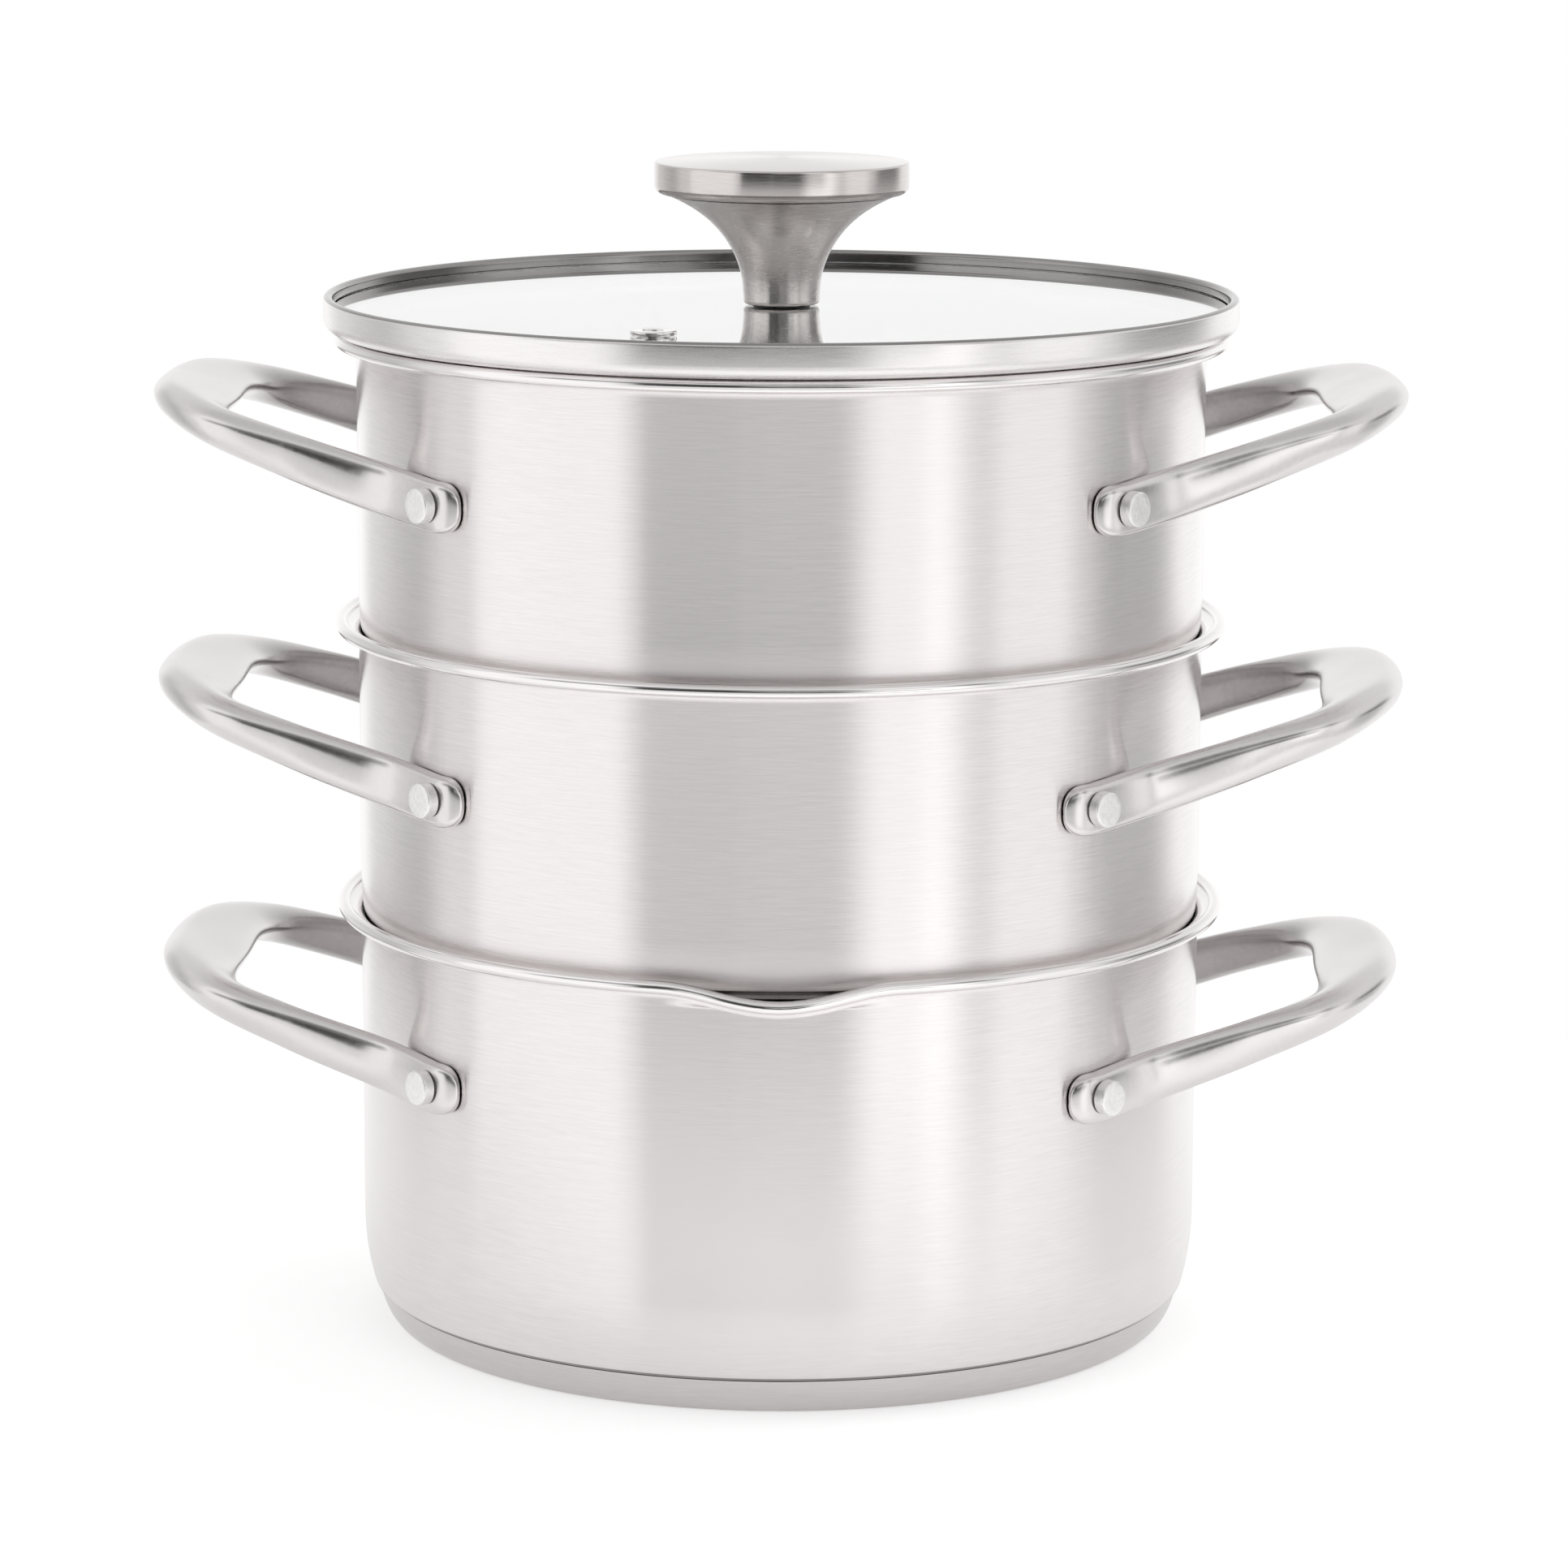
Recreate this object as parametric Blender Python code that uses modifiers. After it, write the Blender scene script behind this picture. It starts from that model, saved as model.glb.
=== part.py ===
"""Three tier steamer pot: a pot with a pouring lip, two steamers that stack in it, and a glass lid.

The origin is the middle of the underside that the pot stands on. +Z is up, +X runs along the
handles and -Y faces the pouring lip. All sizes are in metres and all angles in degrees.
"""
import math

import bmesh
import bpy
import numpy as np
from mathutils import Matrix, Vector

OBJECT_NAME = "three_tier_steamer_pot"

# Fits
TOUCH_GAP = 0.0003
CURVE_ROOM = 0.0009
CUT_OVERRUN = 0.0040
WELD_DISTANCE = 0.00001

# Facets
VESSEL_STEPS = 40
KNOB_STEPS = 20
SMALL_STEPS = 10
SHARP_ANGLE = 35.0

# Vessel walls, the same on the pot and on both steamers
INNER_RADIUS = 0.1000
WALL = 0.0008
BODY_RADIUS = INNER_RADIUS + WALL

# Rim: the wall flares out and ends in a rolled bead
FLARE_RADIUS = 0.0033
BEAD_RADIUS = 0.00155

# Pot
POT_RIM_Z = 0.1014
POT_CORNER_WIDTH = 0.0095
POT_CORNER_HEIGHT = 0.0270
POT_HEEL_EDGE = 0.0007

# Pouring lip of the pot
SPOUT_HALF_ANGLE = 15.0
SPOUT_REACH = 0.0040
SPOUT_DIP = 0.0030
SPOUT_DEPTH = 0.0120
SPOUT_MID_DEPTH = 0.0075

# Base under the pot: an aluminium disc in a steel cap
BASE_HEIGHT = 0.0086
BASE_CAP_WALL = 0.0008
BASE_TOP_STEP = 0.0034
BASE_SIDE_LEAN = 0.0050
BASE_SIDE_SWEEP = 65.0

# Steamers
STEAMER_HEIGHT = 0.0679
TAPER_HEIGHT = 0.0100
TAPER_DEPTH = 0.00035
SHOULDER_RADIUS = 0.0070
SHOULDER_SWEEP = 45.0
NECK_BEND_RADIUS = 0.0030
NEST_DEPTH = 0.0140
FLOOR_CORNER_RADIUS = 0.0040
STEAM_HOLE_RADIUS = 0.0035
STEAM_HOLE_PITCH = 0.0200
STEAM_HOLE_RINGS = 3
STEAM_HOLE_SIDES = 6

# Handles, measured from the wall and from the height of their rivets
RIVET_DROP = 0.0317
RIVET_HALF_SPREAD = 41.6
PAD_THICKNESS = 0.0040
PAD_SINK = 0.0008
PAD_HEIGHT = 0.0116
PAD_END_LENGTH = 0.0042
PAD_CORNER = 0.0042
PAD_DROP = 0.0005
KNEE_ANGLE = 9.0
KNEE_LIFT = 0.0019
HANDLE_REACH = 0.0386
HANDLE_HALF_SPAN = 0.0497
HANDLE_RISE = 0.0178
WEB_WIDTH = 0.0206
HANDLE_SIDES = 12
SIDE_OFFSET_SHARE = 0.001
RINGS_PER_SPAN = 2
PAD_END_SHARES = (0.995, 0.90, 0.60, 0.0)
PAD_END_THINNING_SHARE = 0.3
KNEE_RISE_SHARE = 0.076
KNEE_WIDTH_SHARE = 0.252
KNEE_HEIGHT_SHARE = 1.027

# A section's form: where its crease lies across it, how high its outer and inner sides are
# fullest, and how square its four quarters are, from the outer upper one round over the inner side
PAD_SECTION = (0.0, 0.0, 0.0, 3.6, 3.6, 3.6, 3.6)
KNEE_SECTION = (-0.05, 0.12, 0.10, 2.8, 3.0, 3.2, 3.0)

# The rest of a handle's half, from the leg to the middle of the grip: shares of the reach, the
# half span, the rise, the grip's width and the pad's height, and the section's form
GRIP_STATION_SHARES = (
    (0.306, 1.000, 0.497, 0.270, 0.903, (-0.10, 0.22, 0.20, 1.9, 2.0, 2.6, 2.2)),
    (0.760, 0.840, 0.806, 0.500, 0.815, (0.25, 0.22, -0.10, 1.8, 1.6, 2.6, 2.2)),
    (0.945, 0.570, 0.983, 0.740, 0.775, (0.46, 0.24, -0.30, 1.8, 1.5, 2.8, 2.2)),
    (0.985, 0.000, 1.000, 0.960, 0.785, (0.52, 0.26, -0.38, 1.8, 1.45, 2.8, 2.2)),
)

# How far each handle stands turned from the X axis, left one first
POT_HANDLE_TURNS = (-2.9, -2.7)
MIDDLE_HANDLE_TURNS = (-1.6, -4.3)
TOP_HANDLE_TURNS = (-1.8, 0.6)

# Rivets
SHANK_RADIUS = 0.0030
RIVET_HEAD_RADIUS = 0.0062
RIVET_HEAD_HEIGHT = 0.0016
STUB_RADIUS = 0.0041
STUB_HEIGHT = 0.0030
STUB_EDGE = 0.0005

# Lid band around the glass
LID_OVERHANG = 0.00205
BAND_WALL = 0.0012
BAND_ROLL_RADIUS = 0.00118
BAND_RISE = 0.0029
TUCK_RADIUS = 0.0032
TUCK_SWEEP = 75.0
SEAT_WALL = 0.0010
SKIRT_CLEARANCE = 0.0012
SKIRT_WALL = 0.0008
SKIRT_DEPTH = 0.0027

# Glass
GLASS_THICKNESS = 0.0040
GLASS_EDGE = 0.0005

# Steam vent, a steel eyelet in the glass
VENT_X = -0.0289
VENT_Y = -0.0674
VENT_BORE_RADIUS = 0.0023
VENT_TUBE_RADIUS = 0.0035
VENT_FLANGE_RADIUS = 0.0053
VENT_FLANGE_HEIGHT = 0.0010
VENT_FLANGE_EDGE = 0.0004

# Knob stem: a straight foot, then a flare
STEM_NECK_RADIUS = 0.00905
STEM_FOOT_HEIGHT = 0.0020
STEM_FOOT_EDGE = 0.0010
FLARE_HEIGHT = 0.0250
FLARE_REACH = 0.0210
FLARE_SQUARE_SHARE = 0.68
STEM_HEIGHT = 0.0259
STEM_WALL = 0.0014
STEM_FLOOR = 0.0016

# Knob cap
CAP_RADIUS = 0.0302
CAP_HEIGHT = 0.0075
CAP_DOME = 0.0011
CAP_TOP_EDGE = 0.0006
CAP_LOW_EDGE = 0.0020
CAP_WALL = 0.0012
CAP_SPIGOT_HEIGHT = 0.0016

# Knob fastening, from inside the stem to below the glass
SCREW_RADIUS = 0.0024
SCREW_HEAD_RADIUS = 0.0050
SCREW_HEAD_HEIGHT = 0.0026
SCREW_HEAD_EDGE = 0.0006
SCREW_SLOT_WIDTH = 0.0012
SCREW_SLOT_DEPTH = 0.0012
INSERT_RADIUS = 0.0056
INSERT_HEIGHT = 0.0100
INSERT_SPARE_DEPTH = 0.0015
GASKET_RADIUS = 0.0065
GASKET_THICKNESS = 0.0010
PAD_WASHER_RADIUS = 0.0075
STEEL_WASHER_RADIUS = 0.0068
WASHER_THICKNESS = 0.0010

# Places that follow from the sizes above
FLARE_CENTRE_RADIUS = INNER_RADIUS + FLARE_RADIUS
BEAD_CENTRE_RADIUS = FLARE_CENTRE_RADIUS + BEAD_RADIUS
BASE_TOP_RADIUS = BODY_RADIUS - BASE_TOP_STEP
BASE_FOOT_RADIUS = BASE_TOP_RADIUS - BASE_SIDE_LEAN
LID_RADIUS = BEAD_CENTRE_RADIUS + BEAD_RADIUS + LID_OVERHANG
TAPER_ANGLE = 2.0 * math.degrees(math.atan2(TAPER_DEPTH, TAPER_HEIGHT))
SHOULDER_DROP = SHOULDER_RADIUS * math.sin(math.radians(TAPER_ANGLE))
SHOULDER_CENTRE_RADIUS = (BODY_RADIUS - TAPER_DEPTH
                          - SHOULDER_RADIUS * math.cos(math.radians(TAPER_ANGLE)))
SHOULDER_RISE = math.sqrt(
    (SHOULDER_RADIUS + FLARE_RADIUS + TOUCH_GAP) ** 2
    - (FLARE_CENTRE_RADIUS - SHOULDER_CENTRE_RADIUS) ** 2) - FLARE_RADIUS - SHOULDER_DROP
TIER_PITCH = SHOULDER_RISE + STEAMER_HEIGHT
MIDDLE_RIM_Z = POT_RIM_Z + TIER_PITCH
TOP_RIM_Z = MIDDLE_RIM_Z + TIER_PITCH
LID_SEAT_Z = TOP_RIM_Z + BEAD_RADIUS + TOUCH_GAP
GLASS_Z = LID_SEAT_Z + SEAT_WALL + TOUCH_GAP
GLASS_TOP_Z = GLASS_Z + GLASS_THICKNESS
LID_TOP_Z = GLASS_TOP_Z + BAND_RISE
STEM_Z = GLASS_TOP_Z + TOUCH_GAP
STEM_RECESS_Z = STEM_Z + GASKET_THICKNESS + TOUCH_GAP
STEM_FLOOR_Z = STEM_RECESS_Z + STEM_FLOOR
INSERT_Z = STEM_FLOOR_Z + TOUCH_GAP
STEM_TOP_Z = STEM_Z + STEM_HEIGHT
CAP_Z = STEM_TOP_Z + TOUCH_GAP
PAD_WASHER_TOP_Z = GLASS_Z - TOUCH_GAP
STEEL_WASHER_TOP_Z = PAD_WASHER_TOP_Z - WASHER_THICKNESS - TOUCH_GAP
SCREW_SEAT_Z = STEEL_WASHER_TOP_Z - WASHER_THICKNESS - TOUCH_GAP
SCREW_TOP_Z = INSERT_Z + INSERT_HEIGHT - INSERT_SPARE_DEPTH
SCREW_HOLE_RADIUS = SCREW_RADIUS + TOUCH_GAP
RIVET_HOLE_RADIUS = SHANK_RADIUS + TOUCH_GAP
VENT_HOLE_RADIUS = VENT_TUBE_RADIUS + TOUCH_GAP
WALL_FACE_RADIUS = BODY_RADIUS + TOUCH_GAP
PAD_FACE_RADIUS = WALL_FACE_RADIUS + PAD_THICKNESS


# Scene and materials

def make_collection(name, hidden=False):
    collection = bpy.data.collections.new(name)
    bpy.context.scene.collection.children.link(collection)
    collection.hide_render = hidden
    return collection


def make_material(name, colour, metallic, roughness, transmission=0.0):
    material = bpy.data.materials.new(name)
    material.use_nodes = True
    shader = material.node_tree.nodes["Principled BSDF"]
    shader.inputs["Base Color"].default_value = (*colour, 1.0)
    shader.inputs["Metallic"].default_value = metallic
    shader.inputs["Roughness"].default_value = roughness
    shader.inputs["Transmission Weight"].default_value = transmission
    material.diffuse_color = (*colour, 1.0)
    return material


for thing in list(bpy.data.objects):
    bpy.data.objects.remove(thing, do_unlink=True)

PARTS = make_collection(OBJECT_NAME)
CUTTERS = make_collection("cutters", hidden=True)

BRUSHED_STEEL = make_material("brushed_steel", (0.80, 0.79, 0.78), 1.0, 0.32)
POLISHED_STEEL = make_material("polished_steel", (0.86, 0.85, 0.84), 1.0, 0.12)
KNOB_STEEL = make_material("knob_steel", (0.66, 0.64, 0.63), 1.0, 0.28)
RIVET_STEEL = make_material("rivet_steel", (0.78, 0.78, 0.77), 1.0, 0.45)
ALUMINIUM = make_material("aluminium", (0.75, 0.75, 0.76), 1.0, 0.40)
CLEAR_GLASS = make_material("clear_glass", (0.96, 0.98, 0.97), 0.0, 0.02, transmission=1.0)
SILICONE = make_material("silicone", (0.05, 0.05, 0.05), 0.0, 0.60)


# Modelling helpers

def add_part(name, mesh, body, material):
    part = bpy.data.objects.new(name, mesh)
    PARTS.objects.link(part)
    if not mesh.materials:
        mesh.materials.append(material)
    part.parent = body
    return part


def add_body(name):
    """An empty on the axis of the stack, which is the line that the body slides along."""
    body = bpy.data.objects.new(name, None)
    body.empty_display_size = INNER_RADIUS
    PARTS.objects.link(body)
    return body


def add_cutter(name, mesh):
    cutter = bpy.data.objects.new(name, mesh)
    cutter.hide_render = True
    cutter.display_type = "WIRE"
    CUTTERS.objects.link(cutter)
    return cutter


def cut(part, cutter):
    boolean = part.modifiers.new("cut by " + cutter.name, "BOOLEAN")
    boolean.operation = "DIFFERENCE"
    boolean.solver = "EXACT"
    boolean.object = cutter


def turn(name, profile, steps, closed=False):
    """Mesh of a turned piece, whose profile runs out over the top and down its outer side."""
    count = len(profile)
    edges = [(index, (index + 1) % count) for index in range(count if closed else count - 1)]
    line = bpy.data.meshes.new(name + "_profile")
    line.from_pydata([(radius, 0.0, height) for radius, height in profile], edges, [])
    lathe = bpy.data.objects.new(name + "_lathe", line)
    CUTTERS.objects.link(lathe)
    screw = lathe.modifiers.new("turn", "SCREW")
    screw.axis = "Z"
    screw.steps = steps
    screw.render_steps = steps
    screw.use_merge_vertices = True
    screw.merge_threshold = WELD_DISTANCE
    graph = bpy.context.evaluated_depsgraph_get()
    mesh = bpy.data.meshes.new_from_object(lathe.evaluated_get(graph))
    mesh.name = name
    bpy.data.objects.remove(lathe)
    mesh.shade_smooth()
    mesh.set_sharp_from_angle(angle=math.radians(SHARP_ANGLE))
    return mesh


def edit(mesh, change):
    """Let a function change a mesh's points and faces."""
    shape = bmesh.new()
    shape.from_mesh(mesh)
    change(shape)
    shape.to_mesh(mesh)
    shape.free()


def rods(name, radius, depth, sides, places):
    """One cutter of equal straight rods, each centred on its place and along its place's Z."""
    mesh = bpy.data.meshes.new(name)

    def build(shape):
        for place in places:
            bmesh.ops.create_cone(shape, cap_ends=True, segments=sides, radius1=radius,
                                  radius2=radius, depth=depth, matrix=place)

    edit(mesh, build)
    return add_cutter(name, mesh)


def upright(x, y, z):
    return Matrix.Translation((x, y, z))


def spoke(angle, radius, height):
    """A frame whose Z points out from the axis at this angle, radius and height."""
    around = Matrix.Rotation(math.radians(angle), 4, "Z")
    outward = Matrix.Rotation(math.radians(90.0), 4, "Y")
    return around @ Matrix.Translation((radius, 0.0, height)) @ outward


def arc(centre_r, centre_z, radius, start, end, count):
    """Points on a round arc, from the start angle to the end angle, both included."""
    points = []
    for step in range(count):
        angle = math.radians(start + (end - start) * step / (count - 1))
        points.append((centre_r + radius * math.cos(angle), centre_z + radius * math.sin(angle)))
    return points


# Vessels

def bead_meeting():
    """Where the flare's outer face runs into the bead, as an angle on each of their circles."""
    span = Vector((BEAD_RADIUS, FLARE_RADIUS))
    outer_flare = FLARE_RADIUS - WALL
    along = (span.length_squared + outer_flare ** 2 - BEAD_RADIUS ** 2) / (2.0 * span.length)
    lean = math.degrees(math.atan2(span.y, span.x))
    flare_angle = lean + math.degrees(math.acos(along / outer_flare))
    bead_angle = lean - 180.0 - math.degrees(math.acos((span.length - along) / BEAD_RADIUS))
    return flare_angle, bead_angle


def rim_profile(rim_z):
    """The flare and the rolled bead, from the inner wall over the rim to the outer wall."""
    flare_angle, bead_angle = bead_meeting()
    flare_z = rim_z - FLARE_RADIUS
    points = arc(FLARE_CENTRE_RADIUS, flare_z, FLARE_RADIUS, 180.0, 90.0, 3)[:-1]
    points += arc(BEAD_CENTRE_RADIUS, rim_z, BEAD_RADIUS, 180.0, bead_angle, 8)
    points += arc(FLARE_CENTRE_RADIUS, flare_z, FLARE_RADIUS - WALL, flare_angle, 180.0, 3)[1:]
    return points


def pot_corner(offset, low_z):
    """The pot's rounded lower corner, from the straight wall down to a height."""
    width = POT_CORNER_WIDTH - offset
    height = POT_CORNER_HEIGHT - offset
    last = math.asin((POT_CORNER_HEIGHT - low_z) / height)
    points = []
    for step in range(5):
        angle = last * step / 4.0
        points.append((BODY_RADIUS - POT_CORNER_WIDTH + width * math.cos(angle),
                       POT_CORNER_HEIGHT - height * math.sin(angle)))
    return points


def press_spout(shape):
    """Press the pouring lip into the front of the rim, on columns of points added for it."""
    low_z = POT_RIM_Z - SPOUT_DEPTH
    column_angle = 360.0 / VESSEL_STEPS
    reach = math.ceil(SPOUT_HALF_ANGLE / column_angle)
    for column in range(-reach, reach):
        angle = math.radians(column_angle * (column + 0.5))
        front = [face for face in shape.faces
                 if face.calc_center_median().z > low_z and face.calc_center_median().y < 0.0]
        lines = {edge for face in front for edge in face.edges}
        points = {point for face in front for point in face.verts}
        bmesh.ops.bisect_plane(
            shape, geom=front + list(lines) + list(points), dist=WELD_DISTANCE,
            plane_co=(0.0, 0.0, 0.0), plane_no=(math.cos(angle), math.sin(angle), 0.0))
    for point in shape.verts:
        angle = math.degrees(math.atan2(point.co.x, -point.co.y))
        if abs(angle) >= SPOUT_HALF_ANGLE or point.co.z <= low_z:
            continue
        around = math.cos(math.radians(90.0 * angle / SPOUT_HALF_ANGLE)) ** 2
        height = min((point.co.z - low_z) / (SPOUT_DEPTH - FLARE_RADIUS), 1.0)
        pull = around * height * height * (3.0 - 2.0 * height)
        point.co += Vector((point.co.x, point.co.y, 0.0)).normalized() * SPOUT_REACH * pull
        point.co.z -= SPOUT_DIP * pull


def make_pot_shell(body):
    floor_z = BASE_HEIGHT + WALL
    outer = pot_corner(0.0, BASE_HEIGHT + POT_HEEL_EDGE)
    inner = pot_corner(WALL, floor_z + WALL)
    spout_heights = (POT_RIM_Z - SPOUT_DEPTH, POT_RIM_Z - SPOUT_MID_DEPTH)
    profile = [(0.0, floor_z), (inner[-1][0] - WALL, floor_z)]
    profile += inner[::-1]
    profile += [(INNER_RADIUS, height) for height in spout_heights]
    profile += rim_profile(POT_RIM_Z)
    profile += [(BODY_RADIUS, height) for height in spout_heights[::-1]]
    profile += outer
    profile += [(outer[-1][0] - POT_HEEL_EDGE, BASE_HEIGHT), (0.0, BASE_HEIGHT)]
    mesh = turn("pot_shell", profile, VESSEL_STEPS)
    edit(mesh, press_spout)
    return add_part("pot_shell", mesh, body, BRUSHED_STEEL)


def steamer_side(offset, rim_z):
    """One face of a steamer's lower wall, from the start of its taper down to its floor."""
    shoulder_top_z = rim_z - STEAMER_HEIGHT
    taper_radius = TAPER_HEIGHT / math.sin(math.radians(TAPER_ANGLE))
    points = arc(BODY_RADIUS - taper_radius, shoulder_top_z + TAPER_HEIGHT,
                 taper_radius - offset, 0.0, -TAPER_ANGLE, 2)[:-1]
    shoulder_z = shoulder_top_z + SHOULDER_DROP
    points += arc(SHOULDER_CENTRE_RADIUS, shoulder_z, SHOULDER_RADIUS - offset,
                  -TAPER_ANGLE, -SHOULDER_SWEEP, 3)
    sweep = math.radians(SHOULDER_SWEEP)
    reach = SHOULDER_RADIUS + NECK_BEND_RADIUS
    bend_r = SHOULDER_CENTRE_RADIUS + reach * math.cos(sweep)
    bend_z = shoulder_z - reach * math.sin(sweep)
    points += arc(bend_r, bend_z, NECK_BEND_RADIUS + offset, 180.0 - SHOULDER_SWEEP, 180.0, 3)[1:]
    corner_r = bend_r - NECK_BEND_RADIUS - FLOOR_CORNER_RADIUS
    floor_z = rim_z - TIER_PITCH - NEST_DEPTH
    points += arc(corner_r, floor_z + FLOOR_CORNER_RADIUS, FLOOR_CORNER_RADIUS - offset,
                  0.0, -90.0, 3)
    return points


def steam_hole_places(floor_z):
    places = [upright(0.0, 0.0, floor_z)]
    for ring in range(1, STEAM_HOLE_RINGS + 1):
        count = 6 * ring
        for step in range(count):
            angle = 2.0 * math.pi * step / count
            places.append(upright(STEAM_HOLE_PITCH * ring * math.cos(angle),
                                  STEAM_HOLE_PITCH * ring * math.sin(angle), floor_z))
    return places


def flatten_discs(radius):
    """A change that joins all level faces inside a radius into one face at each height."""
    def change(shape):
        limit = radius + WELD_DISTANCE
        flat = [face for face in shape.faces
                if abs(face.normal.z) > 0.999 and all(p.co.xy.length < limit for p in face.verts)]
        bmesh.ops.dissolve_faces(shape, faces=flat)
    return change


def make_steamer_shell(name, rim_z, body):
    outer = steamer_side(0.0, rim_z)
    inner = steamer_side(WALL, rim_z)
    profile = [(0.0, inner[-1][1])] + inner[::-1] + rim_profile(rim_z)
    profile += outer + [(0.0, outer[-1][1])]
    mesh = turn(name, profile, VESSEL_STEPS)
    edit(mesh, flatten_discs(outer[-1][0]))
    shell = add_part(name, mesh, body, BRUSHED_STEEL)
    floor_z = (inner[-1][1] + outer[-1][1]) / 2.0
    cut(shell, rods(name + "_steam_holes", STEAM_HOLE_RADIUS, CUT_OVERRUN, STEAM_HOLE_SIDES,
                    steam_hole_places(floor_z)))
    return shell


# Base

def base_side(offset):
    """One face of the base cap's rounded side, from its top down to the foot."""
    sweep = math.radians(BASE_SIDE_SWEEP)
    width = (BASE_TOP_RADIUS - BASE_FOOT_RADIUS) / math.sin(sweep)
    height = (BASE_HEIGHT - TOUCH_GAP) / (1.0 - math.cos(sweep))
    points = []
    for step in range(4):
        angle = sweep * (1.0 - step / 3.0)
        slope = math.atan2(height * math.sin(angle), width * math.cos(angle))
        points.append((BASE_FOOT_RADIUS + width * math.sin(angle) - offset * math.sin(slope),
                       height * (1.0 - math.cos(angle)) + offset * math.cos(slope)))
    points[0] = (points[0][0], BASE_HEIGHT - TOUCH_GAP)
    return points


def make_base(body):
    top_z = BASE_HEIGHT - TOUCH_GAP
    inner = base_side(BASE_CAP_WALL)
    cap = [(0.0, BASE_CAP_WALL)] + inner[::-1] + base_side(0.0) + [(0.0, 0.0)]
    add_part("base_cap", turn("base_cap", cap, VESSEL_STEPS), body, BRUSHED_STEEL)
    fill = base_side(BASE_CAP_WALL + TOUCH_GAP)
    core = [(0.0, top_z)] + fill + [(0.0, fill[-1][1])]
    add_part("base_core", turn("base_core", core, VESSEL_STEPS), body, ALUMINIUM)


# Handles and rivets

def handle_stations():
    """Half of a handle, from its foot's end to its grip's middle.

    Each row has x, y, z, width, height and the seven numbers of the section's form.
    """
    stations = []
    rivet = math.radians(RIVET_HALF_SPREAD)

    def pad_station(angle, thickness, height):
        radius = PAD_FACE_RADIUS - (PAD_THICKNESS - thickness) - (thickness + PAD_SINK) / 2.0
        stations.append((radius * math.cos(angle), radius * math.sin(angle), -PAD_DROP,
                         thickness + PAD_SINK, height, *PAD_SECTION))

    for share in PAD_END_SHARES:
        drawn_in = 1.0 - math.sqrt(1.0 - share ** 2)
        pad_station(rivet + (PAD_END_LENGTH + PAD_CORNER * share) / PAD_FACE_RADIUS,
                    PAD_THICKNESS * (1.0 - PAD_END_THINNING_SHARE * drawn_in),
                    PAD_HEIGHT - 2.0 * PAD_CORNER * drawn_in)
    pad_station(rivet, PAD_THICKNESS, PAD_HEIGHT)
    knee = rivet - math.radians(KNEE_ANGLE)
    radius = WALL_FACE_RADIUS + PAD_THICKNESS / 2.0
    stations.append((radius * math.cos(knee) + KNEE_LIFT, radius * math.sin(knee),
                     HANDLE_RISE * KNEE_RISE_SHARE, WEB_WIDTH * KNEE_WIDTH_SHARE,
                     PAD_HEIGHT * KNEE_HEIGHT_SHARE, *KNEE_SECTION))
    for reach, span, rise, width, height, section in GRIP_STATION_SHARES:
        stations.append((BODY_RADIUS + HANDLE_REACH * reach, HANDLE_HALF_SPAN * span,
                         HANDLE_RISE * rise, WEB_WIDTH * width, PAD_HEIGHT * height, *section))
    return np.array(stations)


def blend(before, start, end, after, share):
    """A station between two others, on the smooth curve through all four."""
    times = [0.0]
    for first, second in ((before, start), (start, end), (end, after)):
        times.append(times[-1] + math.sqrt(np.linalg.norm((second - first)[:3])))
    t0, t1, t2, t3 = times
    t = t1 + (t2 - t1) * share
    a1 = before * (t1 - t) / (t1 - t0) + start * (t - t0) / (t1 - t0)
    a2 = start * (t2 - t) / (t2 - t1) + end * (t - t1) / (t2 - t1)
    a3 = end * (t3 - t) / (t3 - t2) + after * (t - t2) / (t3 - t2)
    b1 = a1 * (t2 - t) / (t2 - t0) + a2 * (t - t0) / (t2 - t0)
    b2 = a2 * (t3 - t) / (t3 - t1) + a3 * (t - t1) / (t3 - t1)
    return b1 * (t2 - t) / (t2 - t1) + b2 * (t - t1) / (t2 - t1)


def handle_path():
    """Stations along a whole handle, from one foot's end round to the other's."""
    stations = handle_stations()
    mirror = np.ones(stations.shape[1])
    mirror[1] = -1.0
    rivet_index = len(PAD_END_SHARES)
    path = list(stations[:rivet_index])
    for index in range(rivet_index, len(stations) - 1):
        last = index + 2 == len(stations)
        after = stations[index] * mirror if last else stations[index + 2]
        for step in range(RINGS_PER_SPAN):
            path.append(blend(stations[index - 1], stations[index], stations[index + 1], after,
                              step / RINGS_PER_SPAN))
    path.append(stations[-1])
    return np.array(path + [station * mirror for station in path[-2::-1]])


def section_point(section, around):
    """A section's point outwards and upwards, as shares of its half width and half height."""
    crease, outer, inner, *squares = section
    cosine, sine = math.cos(around), math.sin(around)
    square = squares[int(around / (math.pi / 2.0))]
    size = (abs(cosine) ** square + abs(sine) ** square) ** (-1.0 / square)
    middle = crease if sine > 0.0 else 0.0
    fullest = outer if cosine > 0.0 else inner
    across = 1.0 - middle if cosine > 0.0 else 1.0 + middle
    above = 1.0 - fullest if sine > 0.0 else 1.0 + fullest
    return middle + cosine * size * across, fullest + sine * size * above


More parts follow.
